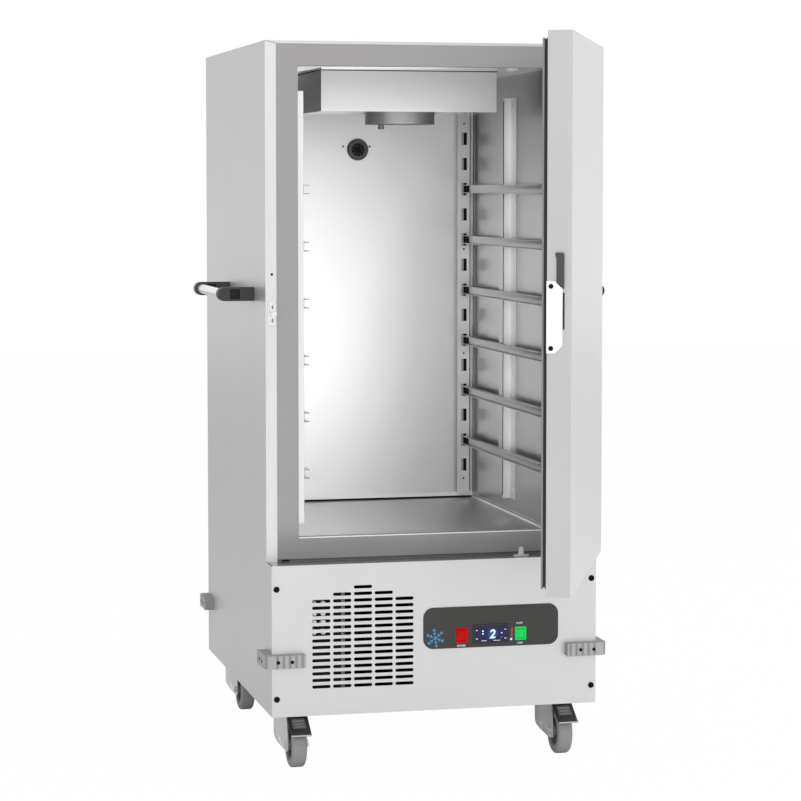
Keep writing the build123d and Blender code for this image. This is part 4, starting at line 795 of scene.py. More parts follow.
# Painted light and shade: the cover's sides get a darker copy of its steel and its underside the pale ceiling
# steel.
finish_where(evaporator_case, cover_side_steel, lambda middle, facing: abs(facing.x) > 0.9)
finish_where(evaporator_case, ceiling_steel, lambda middle, facing: facing.z < -0.9)
dress(fin_metal, "evaporator_coil")
rounded("fan_ring", "fan_shroud_ring", ring_metal, 0.0005)
rounded("evaporator_fan", "evaporator_rotor", dark_plastic, 0.0003)
gland_grey = moulded_plastic("gland_grey", (0.08, 0.08, 0.08, 1), 0.5)
rounded("sensor_gland", "sensor_nut", gland_grey, 0.0005)

cover_half = 0.2
cover_front_y = 0.1169
cover_back_y = 0.3819
cover_low_z = 1.4146
ceiling_z = 1.5056
bead = 0.0018
sealant = bmesh.new()
block(sealant, (-cover_half - bead, cover_front_y - bead, ceiling_z - bead),
      (cover_half + bead, cover_front_y, ceiling_z))
for side in (-1, 1):
    low_x, high_x = sorted((side * cover_half, side * (cover_half + bead)))
    block(sealant, (low_x, cover_front_y, ceiling_z - bead), (high_x, cover_back_y, ceiling_z))
finished("cover_sealant", sealant, "root", gap_sealant, 0.0004)
grommet_spots = [(-0.0955, 0.152, cover_low_z), (-0.0694, 0.2719, cover_low_z),
                 (0.0825, 0.2107, cover_low_z)]
fix("cover_grommets", rail_screw, grommet_spots, (math.pi, 0, 0), "root",
    black_steel, 1.4)

# Pressure valve on the back wall: a dark plastic flange with a spoked black flap in its recess,
# between two black screws.
valve_shade = 0.065
valve_plastic = moulded_plastic("valve_plastic", (valve_shade, valve_shade, valve_shade, 1), 0.45)
rounded("vent_valve", "pressure_valve", valve_plastic, 0.0008)
valve_place = (0, 0.6423, 1.338)
flap_radius = 0.0158
flap = bmesh.new()
lathe(flap, [(0.0003, 0), (0.0003, 0.004), (0, 0.0055), (0, flap_radius - 0.0006),
             (0.0006, flap_radius), (0.0012, flap_radius), (0.0012, 0)], valve_place, "Y")
finished("valve_flap", flap, "root", black_steel)
ticks = bmesh.new()
for tick in range(9):
    turn = tick * math.pi / 4.5 + 0.3
    along = Vector((math.cos(turn), 0, math.sin(turn)))
    across = Vector((-math.sin(turn), 0, math.cos(turn))) * 0.0006
    near = Vector(valve_place) + along * 0.0085
    far = Vector(valve_place) + along * 0.0145
    prism(ticks, [near + across, near - across, far - across, far + across], (0, -0.0004, 0))
finished("valve_ticks", ticks, "root", valve_plastic)
valve_screw_spots = [(valve_place[0] + shift, cabin_back_y, 1.3455) for shift in (-0.036, 0.03)]
fix("valve_screws", rail_screw, valve_screw_spots, facing_front, "root", black_steel)

# Base pan and casters: a galvanised pan under the machinery, and four swivel casters with
# grey rubber tyres on plastic hubs. The front pair has brake pedals.
zinc_shade = 0.74
tyre_colour = (0.3, 0.3, 0.3, 1)
hub_colour = (0.16, 0.16, 0.165, 1)
pedal_colour = (0.03, 0.03, 0.03, 1)


def zinc_plate(name, shade, roughness=0.34, bloom=45):
    """Zinc-plated pressed steel, with the cloudy bloom that plating has."""
    material, nodes, links, shader = bare_material(name)
    shader.inputs["Metallic"].default_value = 0.85
    place = nodes.new("ShaderNodeTexCoord")
    cloud = nodes.new("ShaderNodeTexNoise")
    cloud.inputs["Scale"].default_value = bloom
    cloud.inputs["Detail"].default_value = 5
    links.new(place.outputs["Object"], cloud.inputs["Vector"])
    tone = nodes.new("ShaderNodeMix")
    tone.data_type = "RGBA"
    tone.inputs["A"].default_value = (shade * 0.9, shade * 0.91, shade * 0.93, 1)
    tone.inputs["B"].default_value = (shade * 1.05, shade * 1.05, shade * 1.05, 1)
    links.new(cloud.outputs["Fac"], tone.inputs["Factor"])
    links.new(tone.outputs["Result"], shader.inputs["Base Color"])
    polish = nodes.new("ShaderNodeMapRange")
    polish.inputs["To Min"].default_value = roughness - 0.08
    polish.inputs["To Max"].default_value = roughness + 0.1
    links.new(cloud.outputs["Fac"], polish.inputs["Value"])
    links.new(polish.outputs["Result"], shader.inputs["Roughness"])
    return material


zinc = zinc_plate("zinc_plated_steel", zinc_shade)
tyre_rubber = moulded_plastic("tyre_rubber", tyre_colour, 0.75, pebble=0.12, pebble_scale=900)
hub_plastic = moulded_plastic("hub_plastic", hub_colour, 0.5)
pedal_paint = moulded_plastic("pedal_paint", pedal_colour, 0.42)
rounded("base_pan", "machine_pan", zinc, 0.0006)
dress(zinc, "caster_plates")
caster_names = [f"{end}_{side}" for end in ("front", "rear") for side in ("left", "right")]
for name in caster_names:
    rounded(f"{name}_tyre", f"{name}_tread", tyre_rubber, 0.0005)
    rounded(f"{name}_hub", f"{name}_wheel_hub", hub_plastic, 0.0006)

bolt_spread_x = 0.031
bolt_spread_y = 0.042
plate_low_z = 0.124
swivel_x = 0.297
swivel_ys = (-0.0331, 0.5979)
bolt_radius = 0.0065
bolt_head = fixing_head(
    "bolt_head",
    [(0, bolt_radius), (0.0035, bolt_radius), (0.0042, bolt_radius * 0.85), (0.0042, 0)],
    6,
)
bolt_spots = [
    (side * swivel_x + across * bolt_spread_x, y + along * bolt_spread_y, plate_low_z)
    for side in (-1, 1)
    for y in swivel_ys
    for across in (-1, 1)
    for along in (-1, 1)
]
facing_down = (math.pi, 0, 0)

# Each fork is pressed from one plate: two cheeks that swell round the swivel race behind the
# wheel, in three upright steps, under a flat crown. A hexagon bolt and nut hold the axle.
fork_sheet = 0.003
crown_z = 0.1163
cheek_front_x = 0.022
cheek_rear_x = 0.033
axle_y = -0.035
axle_z = 0.05
axle_radius = 0.005
nut_radius = 0.0085
cheek_rows = (
    (0.035, -0.044, -0.024, 0.1),
    (0.038, -0.0495, -0.008, 0.3),
    (0.044, -0.0505, 0.02, 0.7),
    (0.051, -0.05, 0.04, 0.95),
    (0.058, -0.05, 0.047, 1),
    (0.067, -0.049, 0.049, 1),
    (crown_z, -0.042, 0.049, 1),
)
cheek_steps = ((0, 0), (0.3, 0.05), (0.36, 0.35), (0.58, 0.45), (0.64, 0.75), (0.86, 0.85), (1, 1))
fork_zinc = zinc_plate("fork_zinc", 0.7, 0.36, 30)


def cheek(form, side, x, y):
    """Add one cheek of a fork whose swivel stands at x and y."""
    layers = []
    for inset in (0, fork_sheet):
        layer = []
        for z, front, rear, swell in cheek_rows:
            row = []
            for share, out in cheek_steps:
                reach = cheek_front_x + (cheek_rear_x - cheek_front_x) * out * swell - inset
                place = (x + side * reach, y + front + (rear - front) * share, z)
                row.append(form.verts.new(place))
            layer.append(row)
        layers.append(layer)
    rows = len(cheek_rows)
    columns = len(cheek_steps)
    for layer in layers:
        for row in range(rows - 1):
            for column in range(columns - 1):
                form.faces.new([layer[row][column], layer[row][column + 1],
                                layer[row + 1][column + 1], layer[row + 1][column]])
    rim = [(0, column) for column in range(columns)]
    rim += [(row, columns - 1) for row in range(1, rows)]
    rim += [(rows - 1, column) for column in range(columns - 2, -1, -1)]
    rim += [(row, 0) for row in range(rows - 2, 0, -1)]
    for (row, column), (next_row, next_column) in zip(rim, rim[1:] + rim[:1]):
        form.faces.new([layers[0][row][column], layers[0][next_row][next_column],
                        layers[1][next_row][next_column], layers[1][row][column]])


for name in caster_names:
    x = swivel_x if name.endswith("right") else -swivel_x
    y = swivel_ys[0] if name.startswith("front") else swivel_ys[1]
    fork = bmesh.new()
    for side in (-1, 1):
        cheek(fork, side, x, y)
    block(fork, (x - cheek_rear_x + 0.001, y - 0.042, crown_z - fork_sheet),
          (x + cheek_rear_x - 0.001, y + 0.048, crown_z))
    fork_piece = finished(f"{name}_cheeks", fork, body_of(f"{name}_fork"), fork_zinc,
                          0.0004)
    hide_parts(f"{name}_fork")
    axle = bmesh.new()
    lathe(axle, [(-0.025, 0), (-0.025, axle_radius), (0.025, axle_radius), (0.025, 0)],
          (x, y + axle_y, axle_z), "X")
    for side in (-1, 1):
        lathe(axle, [(side * 0.0221, 0), (side * 0.0221, nut_radius),
                     (side * 0.0264, nut_radius), (side * 0.0268, nut_radius * 0.86),
                     (side * 0.0268, 0)], (x, y + axle_y, axle_z), "X", 6)
    finished(f"{name}_axle_bolt", axle, body_of(f"{name}_fork"), zinc, 0.0003)

fix("caster_bolts", bolt_head, bolt_spots, facing_down, "root", zinc)

pedal_bend = (-0.0761, 0.1170)
pedal_end = (-0.1301, 0.0820)
bare_edge = satin_steel("bare_edge", 0.6, "X", roughness=0.3)
ridge_plastic = moulded_plastic("ridge_plastic", (0.36, 0.36, 0.37, 1), 0.4)
for side, x in (("left", -swivel_x), ("right", swivel_x)):
    body = body_of(f"front_{side}_pedal")
    rounded(f"front_{side}_pedal", f"front_{side}_brake_plate", pedal_paint, 0.0006)
    run = Vector((0, pedal_end[0] - pedal_bend[0], pedal_end[1] - pedal_bend[1]))
    up = Vector((0, run.z, -run.y)).normalized()
    start = Vector((x, *pedal_bend))
    mark = bmesh.new()
    pad = bmesh.new()
    pad_low = start + run * 0.24
    pad_high = start + run * 0.7
    half_pad = Vector((0.0145, 0, 0))
    prism(pad, [pad_low - half_pad, pad_low + half_pad, pad_high + half_pad, pad_high - half_pad],
          up * 0.0005)
    finished(f"front_{side}_pedal_pad", pad, body, hub_plastic, 0.0002)
    for share, width, depth in ((0.36, 0.024, 0.003), (0.5, 0.02, 0.0022), (0.62, 0.018, 0.0014)):
        middle = start + run * share
        across = Vector((width / 2, 0, 0))
        along = run.normalized() * depth / 2
        outline = [middle - across - along, middle + across - along,
                   middle + across + along, middle - across + along]
        prism(mark, outline, up * 0.0009)
    finished(f"front_{side}_pedal_ridges", mark, body, ridge_plastic, 0.0003)
    lip = bmesh.new()
    tip = start + run
    prism(lip, [tip + Vector((-0.0222, -0.0052, 0.0002)), tip + Vector((0.0222, -0.0052, 0.0002)),
                tip + Vector((0.0222, -0.0052, -0.0027)), tip + Vector((-0.0222, -0.0052, -0.0027))],
          (0, 0.001, 0))
    finished(f"front_{side}_pedal_edge", lip, body, bare_edge, 0.0002)

# Machine room: a compressor, and a finned condenser with a fan and its shroud; its fins are painted
# near-black as shade and its tube ends near-white as light. The panels round it are painted
# near-black on their inner faces as shade.
shade_coat_level = 0.012
skin_depth = 0.0002
condenser_low = (-0.2793, -0.1081, 0.13)
condenser_high = (-0.2333, 0.1719, 0.3905)
condenser_fins = 88
fin_sheet = 0.0004
fin_proud = 0.0006
lit_tube_shade = 0.97


damping_coat = moulded_plastic(
    "damping_coat", (shade_coat_level, shade_coat_level, shade_coat_level, 1), 0.95, 0.8, 260
)


def paint_inner_shade(name, axis, place):
    """Paint shade onto the inner face of a panel of the machine room: its faces turn near-black."""
    along = "XYZ".index(axis)
    finish_where(
        bpy.data.objects[name],
        damping_coat,
        lambda middle, facing: abs(facing[along]) > 0.9 and abs(middle[along] - place) < skin_depth,
    )


paint_inner_shade("left_side_sheet", "X", -0.359)
paint_inner_shade("right_side_sheet", "X", 0.359)
paint_inner_shade("back_sheet", "Y", 0.7109)
paint_inner_shade("deck_sheet", "Z", 0.445)
paint_inner_shade("machine_pan", "Z", 0.13)

# A near-black mat behind the vents of the back panel paints the shade of the machine room.
mat_low = (-0.34, 0.7015, 0.158)
mat_high = (0.34, 0.7085, 0.425)
vent_shade_block = bmesh.new()
block(vent_shade_block, mat_low, mat_high)
finished("dust_filter_mat", vent_shade_block, "root", damping_coat, 0.0015)

motor_enamel = moulded_plastic("motor_enamel", (0.012, 0.012, 0.012, 1), 0.3, pebble=0.15)
tube_metal = satin_steel("tube_metal", lit_tube_shade, roughness=0.4, metallic=0)
fin_enamel = moulded_plastic("fin_enamel", (0.015, 0.015, 0.016, 1), 0.5)
rounded("compressor", "compressor_can", motor_enamel, 0.0015)
rounded("condenser_fan", "condenser_rotor", dark_plastic, 0.0003)
rounded("cable_gland", "lead_gland", dark_plastic, 0.0005)
# Painted shade: the condenser block and its fins are near-black.
condenser = rounded("condenser", "condenser_block", fin_enamel, 0.0004)
shroud_zinc = satin_steel("shroud_zinc", 0.3, roughness=0.4, metallic=0.3)
dull(0.1, fin_enamel, motor_enamel, damping_coat)
# Painted light: the condenser's faces in front of its fins, the tube ends, are near-white.
finish_where(condenser, tube_metal, lambda middle, facing: middle.y < condenser_low[1] - fin_proud)
shroud_flange = bmesh.new()
block(shroud_flange, (-0.2075, -0.1075, 0.14), (-0.197, -0.1065, 0.39))
finished("shroud_flange", shroud_flange, "root", shroud_zinc, 0.0003)


def row_tree():
    """Node tree that stands a row of equal plates one step apart."""
    tree = bpy.data.node_groups.new("plate_row", "GeometryNodeTree")
    face = tree.interface
    face.new_socket("Count", in_out="INPUT", socket_type="NodeSocketInt")
    face.new_socket("Start", in_out="INPUT", socket_type="NodeSocketVector")
    face.new_socket("Step", in_out="INPUT", socket_type="NodeSocketVector")
    face.new_socket("Plate", in_out="INPUT", socket_type="NodeSocketVector")
    face.new_socket("Finish", in_out="INPUT", socket_type="NodeSocketMaterial")
    face.new_socket("Row", in_out="OUTPUT", socket_type="NodeSocketGeometry")
    given = tree.nodes.new("NodeGroupInput")
    result = tree.nodes.new("NodeGroupOutput")
    line = tree.nodes.new("GeometryNodeMeshLine")
    plate = tree.nodes.new("GeometryNodeMeshCube")
    stood = tree.nodes.new("GeometryNodeInstanceOnPoints")
    solid = tree.nodes.new("GeometryNodeRealizeInstances")
    coat = tree.nodes.new("GeometryNodeSetMaterial")
    link = tree.links.new
    link(given.outputs["Count"], line.inputs["Count"])
    link(given.outputs["Start"], line.inputs["Start Location"])
    link(given.outputs["Step"], line.inputs["Offset"])
    link(given.outputs["Plate"], plate.inputs["Size"])
    link(line.outputs["Mesh"], stood.inputs["Points"])
    link(plate.outputs["Mesh"], stood.inputs["Instance"])
    link(stood.outputs["Instances"], solid.inputs["Geometry"])
    link(solid.outputs["Geometry"], coat.inputs["Geometry"])
    link(given.outputs["Finish"], coat.inputs["Material"])
    link(coat.outputs["Geometry"], result.inputs["Row"])
    return tree


plate_row = row_tree()


def plates(name, count, start, step, size, material, body="root"):
    """A row of equal plates as one piece of the cart."""
    piece = stand(name, bpy.data.meshes.new(name))
    modifier = piece.modifiers.new("plate row", "NODES")
    modifier.node_group = plate_row
    set_inputs(modifier, Count=count, Start=start, Step=step, Plate=size, Finish=material)
    settle(piece)
    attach(piece, body)
    return piece


fin_step = (condenser_high[1] - condenser_low[1]) / condenser_fins
fin_middle = [(low + high) / 2 for low, high in zip(condenser_low, condenser_high)]
fin_size = (
    condenser_high[0] - condenser_low[0] + fin_proud,
    fin_sheet,
    condenser_high[2] - condenser_low[2],
)
plates(
    "condenser_fins",
    condenser_fins,
    (fin_middle[0], condenser_low[1] + fin_step / 2, fin_middle[2] + fin_proud),
    (0, fin_step, 0),
    fin_size,
    fin_enamel,
)

# Lower front panel: one folded sheet with punched air slots, held by four domed black screws
panel_shade = 0.74
darkened_ledge_shade = 0.34
panel_face_y = -0.1281
panel_screw_radius = 0.0065
panel_screw_x = 0.3495
panel_screw_zs = (0.16, 0.396)
panel_steel = satin_steel("panel_steel", panel_shade, "X")
front_panel = rounded("lower_front_panel", "front_sheet", panel_steel, 0.0004)
paint_inner_shade("front_sheet", "Y", -0.1271)
# Painted reflection: the top of the ledge gets a much darker copy of the panel steel.
ledge_steel = satin_steel("ledge_steel", darkened_ledge_shade, "X", roughness=0.2)
finish_where(
    front_panel,
    ledge_steel,
    lambda middle, facing: facing.z > 0.9 and middle.z > ledge_z - skin_depth,
)
ledge_seams = bmesh.new()
for side in (-1, 1):
    low_x, high_x = sorted((side * 0.3572, side * 0.3596))
    block(ledge_seams, (low_x, -0.1277, ledge_z), (high_x, -0.0683, ledge_z + skin_depth))
finished("ledge_seams", ledge_seams, "root", gap_sealant)
panel_screw_head = fixing_head(
    "panel_screw_head",
    [(-0.0009, 0.003), (0, 0.003), (0, panel_screw_radius), (0.0012, panel_screw_radius),
     (0.0022, panel_screw_radius * 0.86), (0.0029, panel_screw_radius * 0.55), (0.003, 0.0021),
     (0.0016, 0.0019), (0.0016, 0)],
    32,
)
screw_spots = [(side * panel_screw_x, panel_face_y, z) for side in (-1, 1) for z in panel_screw_zs]
screws = fix("panel_screw_heads", panel_screw_head, screw_spots, facing_front, "root",
             black_steel)
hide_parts("panel_screws")

# Corner bumpers: grey ribbed rubber, each held by four sunk screws
bumper_shade = 0.44
bumper_screw_radius = 0.0038
bumper_rubber = moulded_plastic(
    "bumper_rubber", (bumper_shade, bumper_shade * 0.99, bumper_shade * 0.985, 1), 0.7, 0.1, 1100
)
bumper_top = moulded_plastic("bumper_top", (0.3, 0.297, 0.294, 1), 0.75, 0.1, 1100)
bumper_front_y = -0.1481
bumper_back_y = 0.7319
bumper_side_x = 0.38
bumper_low_z = 0.2287
bumper_high_z = 0.257
bumper_sheet = 0.02
bumper_front_leg = 0.09
bumper_side_leg = 0.09
bumper_corner = 0.016
rib_pitch = 0.0136
rib_depth = 0.0028
rib_flank = 0.0018
rib_gap = 0.003
ribs = 5


def ribbed_leg(length):
    """Outer line of one leg, from its end to the corner: distance from the corner, and depth."""
    line = [(length, 0)]
    for rib in range(ribs):
        middle = length - 0.007 - rib * rib_pitch
        half = rib_gap / 2
        line += [(middle + half + rib_flank, 0), (middle + half, rib_depth),
                 (middle - half, rib_depth), (middle - half - rib_flank, 0)]
    return line


bumpers = bmesh.new()
for side in (-1, 1):
    for front_y, away in ((bumper_front_y, -1), (bumper_back_y, 1)):
        def spot(from_side, from_front):
            return (side * (bumper_side_x - from_side), front_y - away * from_front, bumper_low_z)
        outline = [spot(along, depth) for along, depth in ribbed_leg(bumper_front_leg)]
        for step in range(7):
            angle = math.radians(15 * step)
            inset = bumper_corner * (1 - math.sin(angle)), bumper_corner * (1 - math.cos(angle))
            outline.append(spot(*inset))
        outline += [spot(depth, along) for along, depth in reversed(ribbed_leg(bumper_side_leg))]
        outline += [spot(bumper_sheet, bumper_side_leg), spot(bumper_sheet, bumper_sheet),
                    spot(bumper_front_leg, bumper_sheet)]
        prism(bumpers, outline, (0, 0, bumper_high_z - bumper_low_z))
rubber = finished("rubber_corners", bumpers, "root", bumper_rubber, 0.0004)
# Painted shade: the tops and the groove floors of the bumpers get a darker copy of the rubber.
finish_where(
    rubber,
    bumper_top,
    lambda middle, facing: facing.z > 0.9 or bumper_side_x - abs(middle.x) > rib_depth * 0.9
    and (middle.y - bumper_front_y > rib_depth * 0.9)
    and (bumper_back_y - middle.y > rib_depth * 0.9),
)
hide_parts("corner_bumpers")
bumper_screw = fixing_head(
    "bumper_screw",
    [(0, bumper_screw_radius), (0.0006, bumper_screw_radius * 0.9), (0.0006, 0.0012), (0.0001, 0.001),
     (0.0001, 0)],
)
bumper_screw_z = 0.2425
bumper_screw_xs = (0.3195, 0.3495)
bumper_screw_insets = (0.0305, 0.0605)
front_spots = [(side * x, bumper_front_y, bumper_screw_z) for side in (-1, 1) for x in bumper_screw_xs]
rear_spots = [(side * x, bumper_back_y - 0.0006, bumper_screw_z) for side in (-1, 1) for x in bumper_screw_xs]
side_ys = [bumper_front_y + inset for inset in bumper_screw_insets]
side_ys += [bumper_back_y - inset for inset in bumper_screw_insets]
facing_back = (-math.pi / 2, 0, 0)
for name, spots, turn in (
    ("front", front_spots, facing_front),
    ("rear", rear_spots, facing_back),
    ("left", [(-bumper_side_x, y, bumper_screw_z) for y in side_ys], facing_left),
    ("right", [(bumper_side_x, y, bumper_screw_z) for y in side_ys], facing_right),
):
    fix(f"{name}_bumper_screws", bumper_screw, spots, turn, "root", black_steel)

# Control plate: a charcoal plastic plate with a small thermostat, whose window glows blue, and
# two lit rocker switches. Its marks are printed: plain captions and a frost crystal.
plate_colour = (0.037, 0.037, 0.0345, 1)
window_colour = (0.016, 0.017, 0.045, 1)
halo_colour = (0.03, 0.1, 0.34, 1)
print_white = (0.86, 0.86, 0.86, 1)
print_blue = (0.11, 0.45, 0.8, 1)
print_red = (0.5, 0.05, 0.06, 1)
digit_glow = (0.45, 0.72, 1, 1)
red_colour = (0.46, 0.003, 0.004, 1)
green_colour = (0.012, 0.68, 0.1, 1)
plate_face_y = -0.1301
bezel_face_y = -0.1321
print_depth = 0.00012


def glowing(name, colour, strength, roughness=0.4):
    """Plastic lit from behind, a little brighter in its middle than its base colour."""
    material, nodes, links, shader = bare_material(name)
    shader.inputs["Roughness"].default_value = roughness
    shader.inputs["Emission Strength"].default_value = strength
    place = nodes.new("ShaderNodeTexCoord")
    cloud = nodes.new("ShaderNodeTexNoise")
    cloud.inputs["Scale"].default_value = 90
    links.new(place.outputs["Object"], cloud.inputs["Vector"])
    tone = nodes.new("ShaderNodeMix")
    tone.data_type = "RGBA"
    tone.inputs["A"].default_value = [channel * 0.9 for channel in colour[:3]] + [1]
    tone.inputs["B"].default_value = [min(channel * 1.1, 1) for channel in colour[:3]] + [1]
    links.new(cloud.outputs["Fac"], tone.inputs["Factor"])
    links.new(tone.outputs["Result"], shader.inputs["Base Color"])
    links.new(tone.outputs["Result"], shader.inputs["Emission Color"])
    return material


plate_plastic = moulded_plastic("plate_plastic", plate_colour, 0.4, pebble=0.03)
bezel_plastic = moulded_plastic("bezel_plastic", (0.02, 0.02, 0.024, 1), 0.3)
window_glass = glowing("window_glass", window_colour, 0.9, 0.2)


def halo(material, centre, reach, colour):
    """Blend a soft glow about one point into a lit material."""
    tree = material.node_tree
    shader = tree.nodes["Principled BSDF"]
    lit = shader.inputs["Emission Color"].links[0].from_socket
    place = tree.nodes.new("ShaderNodeTexCoord")
    away = tree.nodes.new("ShaderNodeVectorMath")
    away.operation = "DISTANCE"
    away.inputs[1].default_value = centre
    fade = tree.nodes.new("ShaderNodeMapRange")
    fade.interpolation_type = "SMOOTHSTEP"
    fade.inputs["From Max"].default_value = reach
    fade.inputs["To Min"].default_value = 1
    fade.inputs["To Max"].default_value = 0
    blend = tree.nodes.new("ShaderNodeMix")
    blend.data_type = "RGBA"
    blend.inputs["B"].default_value = colour
    tree.links.new(place.outputs["Object"], away.inputs[0])
    tree.links.new(away.outputs["Value"], fade.inputs["Value"])
    tree.links.new(fade.outputs["Result"], blend.inputs["Factor"])
    tree.links.new(lit, blend.inputs["A"])
    tree.links.new(blend.outputs["Result"], shader.inputs["Emission Color"])


halo(window_glass, (0.1242, bezel_face_y, 0.2835), 0.017, halo_colour)
white_print = moulded_plastic("white_print", print_white, 0.5, pebble=0.01)
# Painted light: the blue print of the frost crystal glows faintly, though it is no lamp.
blue_print = glowing("blue_print", print_blue, 0.05)
red_print = moulded_plastic("red_print", print_red, 0.5, pebble=0.01)
digit_light = glowing("digit_light", digit_glow, 0.9)
red_plastic = glowing("red_plastic", red_colour, 0.25, 0.5)
green_plastic = glowing("green_plastic", green_colour, 0.12, 0.5)
dull(0.12, red_plastic, window_glass, green_plastic)
rounded("control_plate", "control_fascia", plate_plastic, 0.0003)
rounded("thermostat", "thermostat_case", bezel_plastic, 0.0004)
housings = rounded("rocker_frames", "rocker_housings", bezel_plastic, 0.0003)
finish_where(
    housings, red_plastic, lambda middle, facing: middle.y < plate_face_y and middle.x < 0.12
)
finish_where(
    housings, green_plastic, lambda middle, facing: middle.y < plate_face_y and middle.x > 0.12
)
rounded("red_rocker", "red_rocker_cap", red_plastic, 0.0003)
rounded("green_rocker", "green_rocker_cap", green_plastic, 0.0003)


def plaque(name, x, z, width, height, face_y, material, corner=0.001, slant=0):
    """Thin rounded plate on a front face, printed or set in."""
    outline = []
    for cx, cz, start in ((1, 1, 0), (-1, 1, 90), (-1, -1, 180), (1, -1, 270)):
        for step in range(5):
            angle = math.radians(start + step * 22.5)
            px = cx * (width / 2 - corner) + corner * math.cos(angle)
            pz = cz * (height / 2 - corner) + corner * math.sin(angle)
            outline.append((x + px + slant * pz, face_y, z + pz))
    form = bmesh.new()
    prism(form, outline, (0, -print_depth, 0))
    return finished(name, form, "root", material)


display_middle = (0.1217, 0.2832)
plaque("display_window", 0.1217, 0.2832, 0.0725, 0.0345, bezel_face_y, window_glass, 0.002)
window_y = bezel_face_y - print_depth
key_places = {"upper_left": (0.0895, 0.2914), "lower_left": (0.0895, 0.273),
              "upper_right": (0.1534, 0.292), "lower_right": (0.1535, 0.2725)}
for name, (x, z) in key_places.items():
    plaque(f"key_{name}", x, z, 0.0042, 0.0018, window_y, white_print, 0.0008)
plaque("heat_lamp", 0.1446, 0.2752, 0.0034, 0.0034, window_y, red_print, 0.0014)
plaque("cool_lamp", 0.1452, 0.2845, 0.003, 0.0026, window_y, digit_light, 0.0012)
plaque("fan_lamp_upper", 0.1032, 0.2894, 0.0032, 0.0034, window_y, digit_light, 0.001)
plaque("fan_lamp_lower", 0.1032, 0.2835, 0.0032, 0.003, window_y, digit_light, 0.001)
plaque("left_legend", 0.1055, 0.2685, 0.0115, 0.0014, window_y, white_print, 0.0004)
plaque("right_legend", 0.1345, 0.2685, 0.016, 0.0012, window_y, white_print, 0.0004)
plaque("bar_red", 0.1688, 0.2895, 0.0036, 0.0095, plate_face_y, red_print, 0.0008)
plaque("bar_grey", 0.1688, 0.2787, 0.003, 0.0105, plate_face_y, hub_plastic, 0.0008)
plaque("bar_white", 0.1672, 0.2695, 0.0046, 0.0048, plate_face_y, white_print, 0.0008)


def printed_word(name, word, height, x, z, face_y, material, slant=0.15, depth=print_depth):
    """A word or digit printed on a front face, its middle at the given place."""
    letters = bpy.data.curves.new(name, "FONT")
    letters.body = word
    letters.size = height / 0.73
    letters.extrude = depth / 2
    letters.offset = height * 0.03
    letters.shear = slant
    letters.align_x = "CENTER"
    letters.resolution_u = 6
    writing = stand(name, letters)
    bpy.context.view_layer.update()
    mesh = bpy.data.meshes.new_from_object(
        writing.evaluated_get(bpy.context.evaluated_depsgraph_get())
    )
    bpy.data.objects.remove(writing)
    bpy.data.curves.remove(letters)
    mesh.transform(Matrix.Rotation(math.pi / 2, 4, "X"))
    mesh.transform(Matrix.Translation((x, face_y - depth / 2, z - height / 2)))
    mesh.materials.clear()
    mesh.materials.append(material)
    piece = stand(name, mesh)
    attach(piece, "root")
    return piece


printed_word("display_digit", "2", 0.0195, 0.1242, 0.2835, window_y, digit_light)
printed_word("power_caption", "POWER", 0.004, 0.0551, 0.2597, plate_face_y, white_print)
printed_word("off_caption", "0 OFF", 0.004, 0.1857, 0.304, plate_face_y, white_print)
printed_word("on_caption", "I ON", 0.0042, 0.1866, 0.2608, plate_face_y, white_print)


def crystal_tree():
    """Node tree that turns copies of one arm about a middle point."""
    tree = bpy.data.node_groups.new("crystal", "GeometryNodeTree")
    face = tree.interface
    face.new_socket("Arm", in_out="INPUT", socket_type="NodeSocketObject")
    face.new_socket("Arms", in_out="INPUT", socket_type="NodeSocketInt")
    face.new_socket("Turn", in_out="INPUT", socket_type="NodeSocketFloat")
    face.new_socket("Finish", in_out="INPUT", socket_type="NodeSocketMaterial")
    face.new_socket("Crystal", in_out="OUTPUT", socket_type="NodeSocketGeometry")
    given = tree.nodes.new("NodeGroupInput")
    result = tree.nodes.new("NodeGroupOutput")
    line = tree.nodes.new("GeometryNodeMeshLine")
    line.inputs["Offset"].default_value = (0, 0, 0)
    arm = tree.nodes.new("GeometryNodeObjectInfo")
    count = tree.nodes.new("GeometryNodeInputIndex")
    angle = tree.nodes.new("ShaderNodeMath")
    angle.operation = "MULTIPLY"
    turn = tree.nodes.new("ShaderNodeCombineXYZ")
    stood = tree.nodes.new("GeometryNodeInstanceOnPoints")
    solid = tree.nodes.new("GeometryNodeRealizeInstances")
    coat = tree.nodes.new("GeometryNodeSetMaterial")
    link = tree.links.new
    link(given.outputs["Arms"], line.inputs["Count"])
    link(line.outputs["Mesh"], stood.inputs["Points"])
    link(given.outputs["Arm"], arm.inputs["Object"])
    link(arm.outputs["Geometry"], stood.inputs["Instance"])
    link(count.outputs["Index"], angle.inputs[0])
    link(given.outputs["Turn"], angle.inputs[1])
    link(angle.outputs[0], turn.inputs["Z"])
    link(turn.outputs["Vector"], stood.inputs["Rotation"])
    link(stood.outputs["Instances"], solid.inputs["Geometry"])
    link(solid.outputs["Geometry"], coat.inputs["Geometry"])
    link(given.outputs["Finish"], coat.inputs["Material"])
    link(coat.outputs["Geometry"], result.inputs["Crystal"])
    return tree


